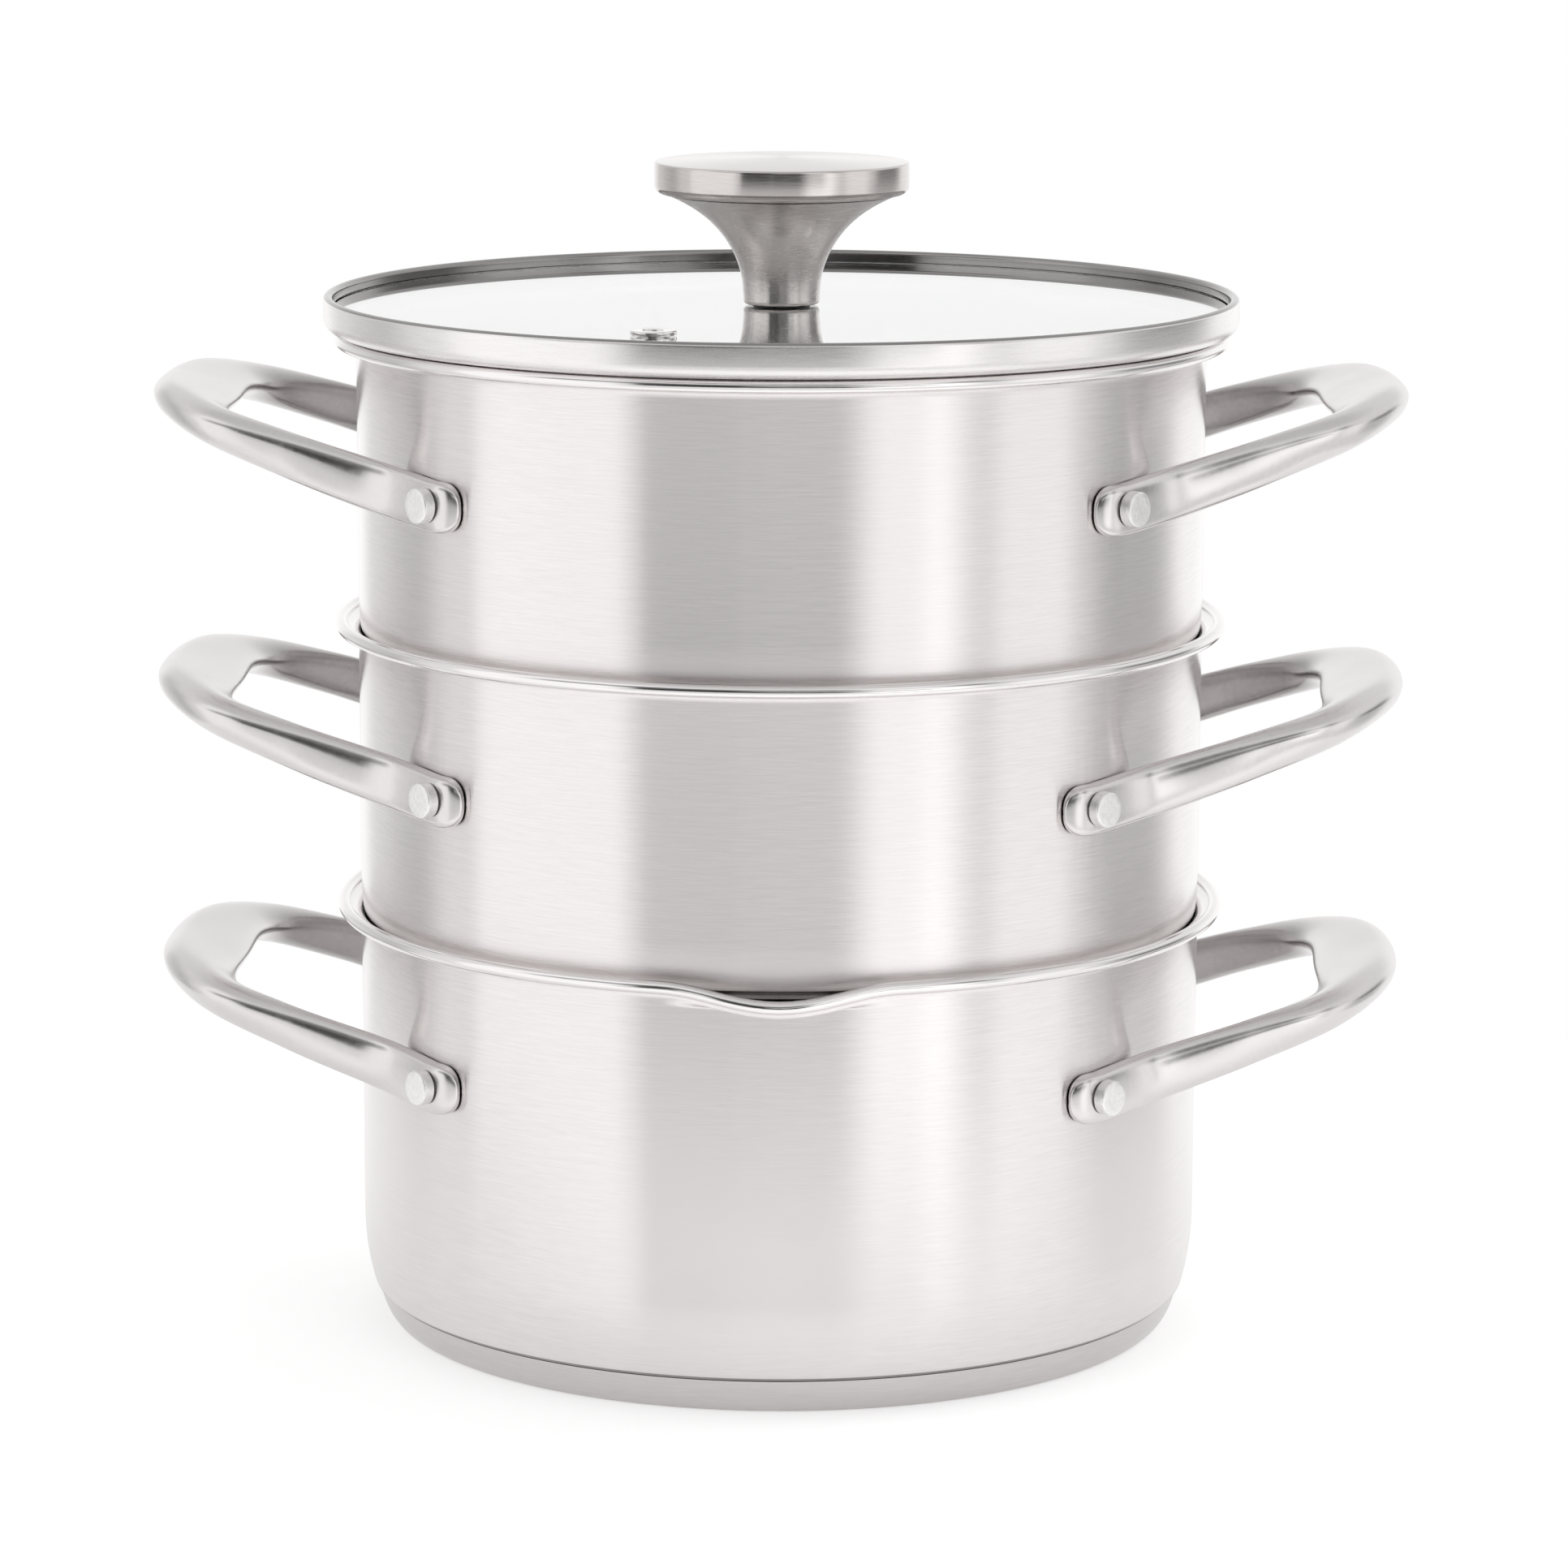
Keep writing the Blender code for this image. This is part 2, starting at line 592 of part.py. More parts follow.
def handle_mesh(name, angle, height):
    """Loft of the handle's sections, each square to the handle's path."""
    path = handle_path()
    directions = np.gradient(path[:, :3], axis=0)
    place = Matrix.Rotation(math.radians(angle), 4, "Z") @ Matrix.Translation((0.0, 0.0, height))
    points = []
    for station, direction in zip(path, directions):
        direction = Vector(direction).normalized()
        outward = Vector((-direction.y, direction.x, 0.0)).normalized()
        up = outward.cross(direction)
        up *= math.copysign(1.0, up.z)
        for side in range(HANDLE_SIDES):
            around = 2.0 * math.pi * (side + SIDE_OFFSET_SHARE) / HANDLE_SIDES
            out, high = section_point(station[5:], around)
            point = (Vector(station[:3]) + outward * (out * station[3] / 2.0)
                     + up * (high * station[4] / 2.0))
            points.append(place @ point)
    faces = []
    rings = len(path)
    for ring in range(rings - 1):
        for side in range(HANDLE_SIDES):
            here = ring * HANDLE_SIDES + side
            there = ring * HANDLE_SIDES + (side + 1) % HANDLE_SIDES
            faces.append((here, there, there + HANDLE_SIDES, here + HANDLE_SIDES))
    faces.append(tuple(range(HANDLE_SIDES)))
    faces.append(tuple(range(rings * HANDLE_SIDES - 1, (rings - 1) * HANDLE_SIDES - 1, -1)))
    mesh = bpy.data.meshes.new(name)
    mesh.from_pydata(points, [], faces)
    edit(mesh, lambda shape: bmesh.ops.recalc_face_normals(shape, faces=shape.faces))
    mesh.shade_smooth()
    mesh.set_sharp_from_angle(angle=math.radians(SHARP_ANGLE))
    return mesh


def rivet_profile():
    """From the stub's outer face down to the domed head inside, measured from the wall's face."""
    pad_face = PAD_FACE_RADIUS + TOUCH_GAP - BODY_RADIUS
    stub_face = PAD_FACE_RADIUS + STUB_HEIGHT - BODY_RADIUS
    head_seat = -WALL - CURVE_ROOM
    profile = [(0.0, stub_face), (STUB_RADIUS - STUB_EDGE, stub_face),
               (STUB_RADIUS, stub_face - STUB_EDGE), (STUB_RADIUS, pad_face),
               (SHANK_RADIUS, pad_face), (SHANK_RADIUS, head_seat)]
    for angle in (0.0, 45.0, 90.0):
        profile.append((RIVET_HEAD_RADIUS * math.cos(math.radians(angle)),
                        head_seat - RIVET_HEAD_HEIGHT * math.sin(math.radians(angle))))
    profile[-1] = (0.0, head_seat - RIVET_HEAD_HEIGHT)
    return profile


RIVET_MESH = turn("rivet", rivet_profile(), SMALL_STEPS)


def add_handles(tier, rim_z, turns, shell, body):
    """Both handles of a vessel, their four rivets and the holes that the rivets pass through."""
    height = rim_z - RIVET_DROP
    wall = rods(tier + "_wall_for_pads", WALL_FACE_RADIUS, STEAMER_HEIGHT, VESSEL_STEPS,
                [upright(0.0, 0.0, height)])
    places = {}
    for side, axis_angle in (("left", turns[0] + 180.0), ("right", turns[1])):
        front = -RIVET_HALF_SPREAD if side == "right" else RIVET_HALF_SPREAD
        places[side + "_front"] = axis_angle + front
        places[side + "_back"] = axis_angle - front
    holes = rods(tier + "_rivet_holes", RIVET_HOLE_RADIUS, PAD_THICKNESS + 2.0 * CUT_OVERRUN,
                 SMALL_STEPS, [spoke(angle, WALL_FACE_RADIUS + PAD_THICKNESS / 2.0, height)
                               for angle in places.values()])
    cut(shell, holes)
    for side, axis_angle in (("left", turns[0] + 180.0), ("right", turns[1])):
        name = tier + "_handle_" + side
        handle = add_part(name, handle_mesh(name, axis_angle, height), body, POLISHED_STEEL)
        cut(handle, wall)
        cut(handle, holes)
    for name, angle in places.items():
        rivet = add_part(tier + "_rivet_" + name, RIVET_MESH, body, RIVET_STEEL)
        rivet.matrix_basis = spoke(angle, BODY_RADIUS, height)


# Lid

def make_lid_rim(body):
    """The steel band around the glass, with a seat under the glass and a skirt inside the rim."""
    skirt_r = INNER_RADIUS - SKIRT_CLEARANCE
    skirt_z = LID_SEAT_Z - SKIRT_DEPTH
    seat_top_z = LID_SEAT_Z + SEAT_WALL
    groove_r = LID_RADIUS - BAND_WALL
    roll_r = LID_RADIUS - BAND_ROLL_RADIUS
    mouth_r = roll_r - BAND_ROLL_RADIUS
    tuck_z = LID_SEAT_Z + TUCK_RADIUS * math.sin(math.radians(TUCK_SWEEP))
    profile = [(skirt_r - SKIRT_WALL, skirt_z), (skirt_r - SKIRT_WALL, seat_top_z),
               (groove_r, seat_top_z), (groove_r, GLASS_TOP_Z + TOUCH_GAP),
               (mouth_r, GLASS_TOP_Z + TOUCH_GAP)]
    profile += arc(roll_r, LID_TOP_Z - BAND_ROLL_RADIUS, BAND_ROLL_RADIUS, 180.0, 0.0, 5)
    profile += arc(LID_RADIUS - TUCK_RADIUS, tuck_z, TUCK_RADIUS, 0.0, -TUCK_SWEEP, 4)
    profile += [(skirt_r, LID_SEAT_Z), (skirt_r, skirt_z)]
    add_part("lid_rim", turn("lid_rim", profile, VESSEL_STEPS, closed=True), body, POLISHED_STEEL)


def make_lid_glass(body):
    radius = LID_RADIUS - BAND_WALL - TOUCH_GAP
    profile = [(0.0, GLASS_TOP_Z), (radius - GLASS_EDGE, GLASS_TOP_Z),
               (radius, GLASS_TOP_Z - GLASS_EDGE), (radius, GLASS_Z), (0.0, GLASS_Z)]
    mesh = turn("lid_glass", profile, VESSEL_STEPS)
    edit(mesh, flatten_discs(radius))
    glass = add_part("lid_glass", mesh, body, CLEAR_GLASS)
    middle_z = (GLASS_Z + GLASS_TOP_Z) / 2.0
    depth = GLASS_THICKNESS + 2.0 * CUT_OVERRUN
    cut(glass, rods("glass_screw_hole", SCREW_HOLE_RADIUS, depth, SMALL_STEPS,
                    [upright(0.0, 0.0, middle_z)]))
    cut(glass, rods("glass_vent_hole", VENT_HOLE_RADIUS, depth, SMALL_STEPS,
                    [upright(VENT_X, VENT_Y, middle_z)]))


def make_vent(body):
    """An eyelet: a flange above the glass and one below it, joined by a tube."""
    top_z = GLASS_TOP_Z + TOUCH_GAP
    low_z = GLASS_Z - TOUCH_GAP
    edge_r = VENT_FLANGE_RADIUS - VENT_FLANGE_EDGE
    profile = [(VENT_BORE_RADIUS, low_z - VENT_FLANGE_HEIGHT),
               (VENT_BORE_RADIUS, top_z + VENT_FLANGE_HEIGHT),
               (edge_r, top_z + VENT_FLANGE_HEIGHT),
               (VENT_FLANGE_RADIUS, top_z + VENT_FLANGE_HEIGHT - VENT_FLANGE_EDGE),
               (VENT_FLANGE_RADIUS, top_z), (VENT_TUBE_RADIUS, top_z),
               (VENT_TUBE_RADIUS, low_z), (VENT_FLANGE_RADIUS, low_z),
               (VENT_FLANGE_RADIUS, low_z - VENT_FLANGE_HEIGHT)]
    vent = add_part("steam_vent", turn("steam_vent", profile, SMALL_STEPS, closed=True), body,
                    POLISHED_STEEL)
    vent.location.x = VENT_X
    vent.location.y = VENT_Y


# Knob

def stem_radius(height, wall=0.0):
    """The stem's radius at a height, or that of its bore where a wall thickness is given."""
    rise = max(height - STEM_Z - STEM_FOOT_HEIGHT, 0.0) / FLARE_HEIGHT
    curve = FLARE_SQUARE_SHARE * rise ** 2 + (1.0 - FLARE_SQUARE_SHARE) * rise ** 6
    slope = 2.0 * FLARE_SQUARE_SHARE * rise + 6.0 * (1.0 - FLARE_SQUARE_SHARE) * rise ** 5
    steepness = math.hypot(1.0, slope * FLARE_REACH / FLARE_HEIGHT)
    return STEM_NECK_RADIUS + FLARE_REACH * curve - wall * steepness


def make_stem(body):
    recess_r = GASKET_RADIUS + TOUCH_GAP
    flare_start = STEM_Z + STEM_FOOT_HEIGHT
    profile = [(recess_r, STEM_Z), (recess_r, STEM_RECESS_Z), (SCREW_HOLE_RADIUS, STEM_RECESS_Z),
               (SCREW_HOLE_RADIUS, STEM_FLOOR_Z)]
    for step in range(6):
        height = STEM_FLOOR_Z + (STEM_TOP_Z - STEM_FLOOR_Z) * math.sqrt(step / 5.0)
        profile.append((stem_radius(height, STEM_WALL), height))
    for step in range(8):
        height = flare_start + (STEM_TOP_Z - flare_start) * math.sqrt(1.0 - step / 7.0)
        profile.append((stem_radius(height), height))
    profile += [(STEM_NECK_RADIUS, STEM_Z + STEM_FOOT_EDGE),
                (STEM_NECK_RADIUS - STEM_FOOT_EDGE, STEM_Z)]
    add_part("knob_stem", turn("knob_stem", profile, KNOB_STEPS, closed=True), body, KNOB_STEEL)


def make_cap(body):
    """The knob's cap: a hollow drum with a shallow dome and a spigot that drops into the stem."""
    top_z = CAP_Z + CAP_HEIGHT
    spigot_z = STEM_TOP_Z - CAP_SPIGOT_HEIGHT
    spigot_r = stem_radius(spigot_z, STEM_WALL) - TOUCH_GAP
    inside_r = CAP_RADIUS - CAP_WALL
    profile = [(0.0, top_z + CAP_DOME), (CAP_RADIUS / 2.0, top_z + CAP_DOME * 3.0 / 4.0)]
    profile += arc(CAP_RADIUS - CAP_TOP_EDGE, top_z - CAP_TOP_EDGE, CAP_TOP_EDGE, 90.0, 0.0, 3)
    profile += arc(CAP_RADIUS - CAP_LOW_EDGE, CAP_Z + CAP_LOW_EDGE, CAP_LOW_EDGE, 0.0, -90.0, 4)
    profile += [(spigot_r, CAP_Z), (spigot_r, spigot_z), (spigot_r - CAP_WALL, spigot_z),
                (spigot_r - CAP_WALL, CAP_Z + CAP_WALL),
                (inside_r - CAP_LOW_EDGE / 2.0, CAP_Z + CAP_WALL),
                (inside_r, CAP_Z + CAP_WALL + CAP_LOW_EDGE / 2.0),
                (inside_r, top_z - CAP_WALL), (0.0, top_z - CAP_WALL)]
    add_part("knob_cap", turn("knob_cap", profile, KNOB_STEPS), body, KNOB_STEEL)


def make_ring(name, inner_r, outer_r, low_z, top_z, body, material):
    profile = [(inner_r, low_z), (inner_r, top_z), (outer_r, top_z), (outer_r, low_z)]
    add_part(name, turn(name, profile, SMALL_STEPS, closed=True), body, material)


def make_fastening(body):
    make_ring("knob_insert", SCREW_HOLE_RADIUS, INSERT_RADIUS, INSERT_Z,
              INSERT_Z + INSERT_HEIGHT, body, POLISHED_STEEL)
    make_ring("knob_gasket", SCREW_HOLE_RADIUS, GASKET_RADIUS, STEM_Z,
              STEM_Z + GASKET_THICKNESS, body, SILICONE)
    make_ring("glass_pad_washer", SCREW_HOLE_RADIUS, PAD_WASHER_RADIUS,
              PAD_WASHER_TOP_Z - WASHER_THICKNESS, PAD_WASHER_TOP_Z, body, SILICONE)
    make_ring("screw_washer", SCREW_HOLE_RADIUS, STEEL_WASHER_RADIUS,
              STEEL_WASHER_TOP_Z - WASHER_THICKNESS, STEEL_WASHER_TOP_Z, body, POLISHED_STEEL)
    head_z = SCREW_SEAT_Z - SCREW_HEAD_HEIGHT
    profile = [(0.0, SCREW_TOP_Z), (SCREW_RADIUS, SCREW_TOP_Z), (SCREW_RADIUS, SCREW_SEAT_Z),
               (SCREW_HEAD_RADIUS, SCREW_SEAT_Z), (SCREW_HEAD_RADIUS, head_z + SCREW_HEAD_EDGE),
               (SCREW_HEAD_RADIUS - SCREW_HEAD_EDGE, head_z), (0.0, head_z)]
    screw = add_part("knob_screw", turn("knob_screw", profile, SMALL_STEPS), body, POLISHED_STEEL)
    slot = bpy.data.meshes.new("screw_slot")
    size = Matrix.Diagonal((2.0 * (SCREW_HEAD_RADIUS + CUT_OVERRUN), SCREW_SLOT_WIDTH,
                            2.0 * SCREW_SLOT_DEPTH, 1.0))
    edit(slot, lambda shape: bmesh.ops.create_cube(
        shape, size=1.0, matrix=upright(0.0, 0.0, head_z) @ size))
    cut(screw, add_cutter("screw_slot", slot))


# Assembly

POT = add_body("pot_body")
MIDDLE = add_body("middle_steamer_body")
TOP = add_body("top_steamer_body")
LID = add_body("lid_body")

pot_shell = make_pot_shell(POT)
make_base(POT)
add_handles("pot", POT_RIM_Z, POT_HANDLE_TURNS, pot_shell, POT)

middle_shell = make_steamer_shell("middle_shell", MIDDLE_RIM_Z, MIDDLE)
add_handles("middle", MIDDLE_RIM_Z, MIDDLE_HANDLE_TURNS, middle_shell, MIDDLE)

top_shell = make_steamer_shell("top_shell", TOP_RIM_Z, TOP)
add_handles("top", TOP_RIM_Z, TOP_HANDLE_TURNS, top_shell, TOP)

make_lid_rim(LID)
make_lid_glass(LID)
make_vent(LID)
make_stem(LID)
make_cap(LID)
make_fastening(LID)
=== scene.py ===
"""Three tier steamer pot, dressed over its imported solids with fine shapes, finishes and a studio.

All sizes are in metres and all angles in radians, and every piece lies where its solid lies.
"""
import math

import bmesh
import bpy
import numpy as np
from bpy.props import FloatProperty, FloatVectorProperty, IntProperty, PointerProperty
from mathutils import Matrix, Vector


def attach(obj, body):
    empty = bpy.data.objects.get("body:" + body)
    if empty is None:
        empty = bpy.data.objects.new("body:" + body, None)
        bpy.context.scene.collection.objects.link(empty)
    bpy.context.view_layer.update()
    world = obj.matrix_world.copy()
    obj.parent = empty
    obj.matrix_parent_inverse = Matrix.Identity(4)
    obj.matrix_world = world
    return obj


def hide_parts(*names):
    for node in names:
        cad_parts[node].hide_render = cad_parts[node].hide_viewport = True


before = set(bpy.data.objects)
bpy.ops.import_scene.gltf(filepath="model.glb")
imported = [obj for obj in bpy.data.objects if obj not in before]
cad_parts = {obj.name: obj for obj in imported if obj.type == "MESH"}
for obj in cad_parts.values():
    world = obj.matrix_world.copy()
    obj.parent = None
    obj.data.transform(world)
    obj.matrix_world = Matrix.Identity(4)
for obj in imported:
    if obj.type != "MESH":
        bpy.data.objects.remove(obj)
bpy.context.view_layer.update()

bl_info = {
    "name": "Three tier steamer pot",
    "version": (1, 0, 0),
    "blender": (4, 5, 0),
    "location": "3D View > Sidebar > Steamer",
    "description": "Builds a steel pot, two steamers and a glass lid, with their finishes",
    "category": "Object",
}

WELD = 0.000002
SHARP_ANGLE = math.radians(35.0)
# A face counts as level, or as looking up, where its normal's height is over these
LEVEL_NORMAL = 0.9999
UPWARD_NORMAL = 0.5
# Steps round the vent, the washers, the screw and the holes in the glass
SMALL_STEPS = 48
# The polished rims reach this far down, and start this far out of the wall
POLISHED_HEIGHT, POLISHED_START = 0.003, 0.0004
SATIN_GRAIN = 900.0
GLASS_IOR = 1.7
CORE_ROUGHNESS, CORE_BRUSHING = 0.4, 0.3
TIERS = ("pot", "middle", "top")
BODIES = {"pot": "pot", "middle": "middle_steamer", "top": "top_steamer"}
SIDES = ("left", "right")


# Sizes and colours that a user can change

def length(name, default, description):
    return FloatProperty(name=name, description=description, default=default, min=0.0,
                         unit="LENGTH", subtype="DISTANCE", precision=5)


def place(name, default, description):
    return FloatProperty(name=name, description=description, default=default, unit="LENGTH",
                         subtype="DISTANCE", precision=5)


def angle(name, degrees, description):
    return FloatProperty(name=name, description=description, default=math.radians(degrees),
                         unit="ROTATION", subtype="ANGLE")


def share(name, default, description, most=1.0):
    return FloatProperty(name=name, description=description, default=default, min=0.0, max=most)


def count(name, default, description, least=1):
    return IntProperty(name=name, description=description, default=default, min=least)


def colour(name, default, description):
    return FloatVectorProperty(name=name, description=description, default=default, size=3,
                               min=0.0, max=1.0, subtype="COLOR")


class VesselSizes(bpy.types.PropertyGroup):
    """Walls and rims, the same on the pot and on both steamers."""
    inner_radius: length("Inside radius", 0.1000, "Half of the inside width")
    wall: length("Wall", 0.0008, "Thickness of the sheet")
    flare_radius: length("Flare radius", 0.0033, "Bend of the wall out into the bead")
    bead_radius: length("Bead radius", 0.00155, "Half the thickness of the rolled bead")
    fit_gap: length("Fit gap", 0.0003, "Gap between pieces that touch")
    steps: count("Steps", 240, "Steps around a turned piece", 24)
    pot_rim: length("Pot rim", 0.1014, "Height of the middle of the pot's bead")
    corner_width: length("Corner width", 0.0095, "Width of the pot's rounded lower corner")
    corner_height: length("Corner height", 0.0270, "Height of the pot's rounded lower corner")
    heel_edge: length("Heel edge", 0.0007, "Bevel where the pot meets its base")
    base_height: length("Base height", 0.0086, "Thickness of the base under the pot")
    base_wall: length("Base cap wall", 0.0008, "Thickness of the base's steel cap")
    base_top_step: length("Base step", 0.0034, "How far the base's top is in from the wall")
    base_lean: length("Base lean", 0.0050, "How far the base's foot is in from its top")
    base_sweep: angle("Base sweep", 65.0, "Turn of the base's rounded side")
    steamer_height: length("Steamer height", 0.0679, "Rim to the shoulder it stands on")
    taper_height: length("Taper height", 0.0100, "Height of the taper over the shoulder")
    taper_depth: length("Taper depth", 0.00035, "How far the taper draws in")
    shoulder_radius: length("Shoulder radius", 0.0070, "Bend that rests in the rim below")
    shoulder_sweep: angle("Shoulder sweep", 45.0, "Turn of the shoulder")
    neck_bend: length("Neck bend", 0.0030, "Bend from the shoulder into the nest wall")
    nest_depth: length("Nest depth", 0.0140, "Depth of the part that drops into the tier below")
    floor_corner: length("Floor corner", 0.0040, "Bend from the nest wall into the floor")


class SpoutSizes(bpy.types.PropertyGroup):
    """The pouring lip pressed into the front of the pot's rim."""
    half_angle: angle("Half angle", 15.0, "Half of the turn that the lip takes up")
    reach: length("Reach", 0.00397, "How far the lip stands out")
    dip: length("Dip", 0.0030, "How far the lip dips")
    depth: length("Depth", 0.0052, "How far down the wall the lip starts")


class SteamHoleSizes(bpy.types.PropertyGroup):
    """The holes in the floors of both steamers."""
    radius: length("Radius", 0.0035, "Radius of a hole")
    pitch: length("Pitch", 0.0200, "Distance from ring to ring")
    rings: count("Rings", 3, "Rings of holes around the middle one")
    sides: count("Sides", 28, "Sides of a hole", 6)


class HandleSizes(bpy.types.PropertyGroup):
    """The cast loop handles, measured from the wall and from the height of their rivets."""
    rivet_drop: length("Rivet drop", 0.0317, "Rim down to the rivets")
    rivet_spread: angle("Rivet spread", 41.6, "Turn from a handle's axis to each of its rivets")
    pad_thickness: length("Pad thickness", 0.0040, "Thickness of the foot under a rivet")
    pad_sink: length("Pad sink", 0.0008, "How much is taken off behind the foot to fit the wall")
    pad_height: length("Pad height", 0.0116, "Height of the foot")
    pad_end: length("Pad end", 0.0042, "Rivet to the start of the foot's rounded end")
    pad_corner: length("Pad corner", 0.0042, "Corner radius of the foot's end")
    pad_drop: length("Pad drop", 0.0005, "Foot's middle below the rivet")
    knee_angle: angle("Knee angle", 9.0, "Turn from the rivet to where the leg leaves the wall")
    knee_lift: length("Knee lift", 0.0019, "How far the leg has lifted there")
    reach: length("Reach", 0.03854, "Wall to the middle of the grip")
    half_span: length("Half span", 0.0497, "Axis to the leg at its widest")
    rise: length("Rise", 0.0178, "Rivets up to the grip")
    web_width: length("Web width", 0.0206, "Width of the grip")
    rings: count("Rings", 10, "Rings between one station and the next", 2)
    sides: count("Sides", 48, "Sides around a section", 8)
    pot_left: angle("Pot left turn", -2.9, "Turn of the pot's left handle from the X axis")
    pot_right: angle("Pot right turn", -2.7, "Turn of the pot's right handle")
    middle_left: angle("Middle left turn", -1.6, "Turn of the middle steamer's left handle")
    middle_right: angle("Middle right turn", -4.3, "Turn of the middle steamer's right handle")
    top_left: angle("Top left turn", -1.8, "Turn of the top steamer's left handle")
    top_right: angle("Top right turn", 0.6, "Turn of the top steamer's right handle")


class RivetSizes(bpy.types.PropertyGroup):
    """The rivets, with a stub outside and a domed head inside."""
    shank_radius: length("Shank radius", 0.0030, "Radius through the wall and the foot")
    head_radius: length("Head radius", 0.0062, "Radius of the domed head inside")
    head_height: length("Head height", 0.0016, "Height of the domed head")
    stub_radius: length("Stub radius", 0.0041, "Radius of the stub outside")
    stub_height: length("Stub height", 0.0030, "How far the stub stands out of the foot")
    stub_edge: length("Stub edge", 0.0005, "Rounding of the stub's edge")
    curve_room: length("Curve room", 0.0009, "Head's seat off the curved wall")
    steps: count("Steps", 32, "Steps around a rivet", 8)


class LidSizes(bpy.types.PropertyGroup):
    """The glass, its steel band and its steam vent."""
    overhang: length("Overhang", 0.00205, "How far the band stands out past the bead")
    band_wall: length("Band wall", 0.0012, "Thickness of the band beside the glass")
    band_roll: length("Band roll", 0.00118, "Radius of the band's rolled top")
    band_rise: length("Band rise", 0.0029, "Glass up to the band's top")
    tuck_radius: length("Tuck radius", 0.0032, "Bend of the band in under the lid")
    tuck_sweep: angle("Tuck sweep", 75.0, "Turn of that bend")
    underside: length("Underside", 0.0006, "Height of the underside, finished like the band")
    seat_wall: length("Seat", 0.0010, "Thickness of the band's seat under the glass")
    skirt_gap: length("Skirt gap", 0.0012, "Skirt in from the vessel's wall")
    skirt_wall: length("Skirt wall", 0.0008, "Thickness of the skirt")
    skirt_depth: length("Skirt depth", 0.0027, "Depth of the skirt")
    glass_thickness: length("Glass", 0.0040, "Thickness of the glass")
    glass_edge: length("Glass edge", 0.0005, "Bevel of the glass's edge")
    vent_x: place("Vent X", -0.0289, "Place of the vent to the side")
    vent_y: place("Vent Y", -0.0674, "Place of the vent to the front")
    vent_bore: length("Vent bore", 0.0023, "Radius of the vent's bore")
    vent_tube: length("Vent tube", 0.0035, "Radius of the vent's tube in the glass")
    vent_flange: length("Vent flange", 0.0053, "Radius of the vent's flanges")
    vent_height: length("Vent height", 0.0010, "Thickness of the vent's flanges")
    vent_edge: length("Vent edge", 0.0004, "Rounding of the vent's flanges")


class KnobSizes(bpy.types.PropertyGroup):
    """The knob: a stem that flares, a cap, and what holds it to the glass."""
    neck: length("Neck", 0.00905, "Radius of the stem's foot")
    foot_height: length("Foot height", 0.0020, "Straight part of the foot")
    foot_edge: length("Foot edge", 0.0010, "Rounding of the foot's edge")
    flare_height: length("Flare height", 0.0250, "Height over which the stem flares")
    flare_reach: length("Flare reach", 0.0210, "How far the flare stands out")
    flare_square: share("Square share", 0.68, "Share of the flare that follows a square")
    stem_height: length("Stem height", 0.0259, "Height of the stem")
    stem_wall: length("Stem wall", 0.0014, "Wall of the hollow stem")
    stem_floor: length("Stem floor", 0.0016, "Floor of the hollow stem")
    cap_radius: length("Cap radius", 0.0302, "Radius of the cap")
    cap_height: length("Cap height", 0.0075, "Height of the cap's side")
    cap_dome: length("Cap dome", 0.0011, "Rise of the cap's top")
    cap_top_edge: length("Cap top edge", 0.0006, "Rounding over the cap's side")
    cap_low_edge: length("Cap low edge", 0.0020, "Rounding under the cap's side")
    cap_wall: length("Cap wall", 0.0012, "Wall of the hollow cap")
    spigot: length("Spigot", 0.0016, "How far the cap drops into the stem")
    screw_radius: length("Screw radius", 0.0024, "Radius of the screw that holds the knob")
    screw_head: length("Screw head", 0.0050, "Radius of the screw's head")
    screw_head_height: length("Screw head height", 0.0026, "Height of the screw's head")
    screw_head_edge: length("Screw head edge", 0.0006, "Bevel of the screw's head")
    slot_width: length("Slot width", 0.0012, "Width of the screw's slot")
    slot_depth: length("Slot depth", 0.0012, "Depth of the screw's slot")
    insert_height: length("Insert height", 0.0100, "Height of the threaded insert")
    insert_spare: length("Insert spare", 0.0015, "Insert above the end of the screw")
    gasket_radius: length("Gasket radius", 0.0065, "Radius of the gasket on the glass")
    gasket: length("Gasket", 0.0010, "Thickness of the gasket on the glass")
    washer: length("Washer", 0.0010, "Thickness of each washer under the glass")
    pad_washer: length("Pad washer", 0.0075, "Radius of the silicone washer")
    steel_washer: length("Steel washer", 0.0068, "Radius of the steel washer")
    steps: count("Steps", 128, "Steps around the knob", 12)


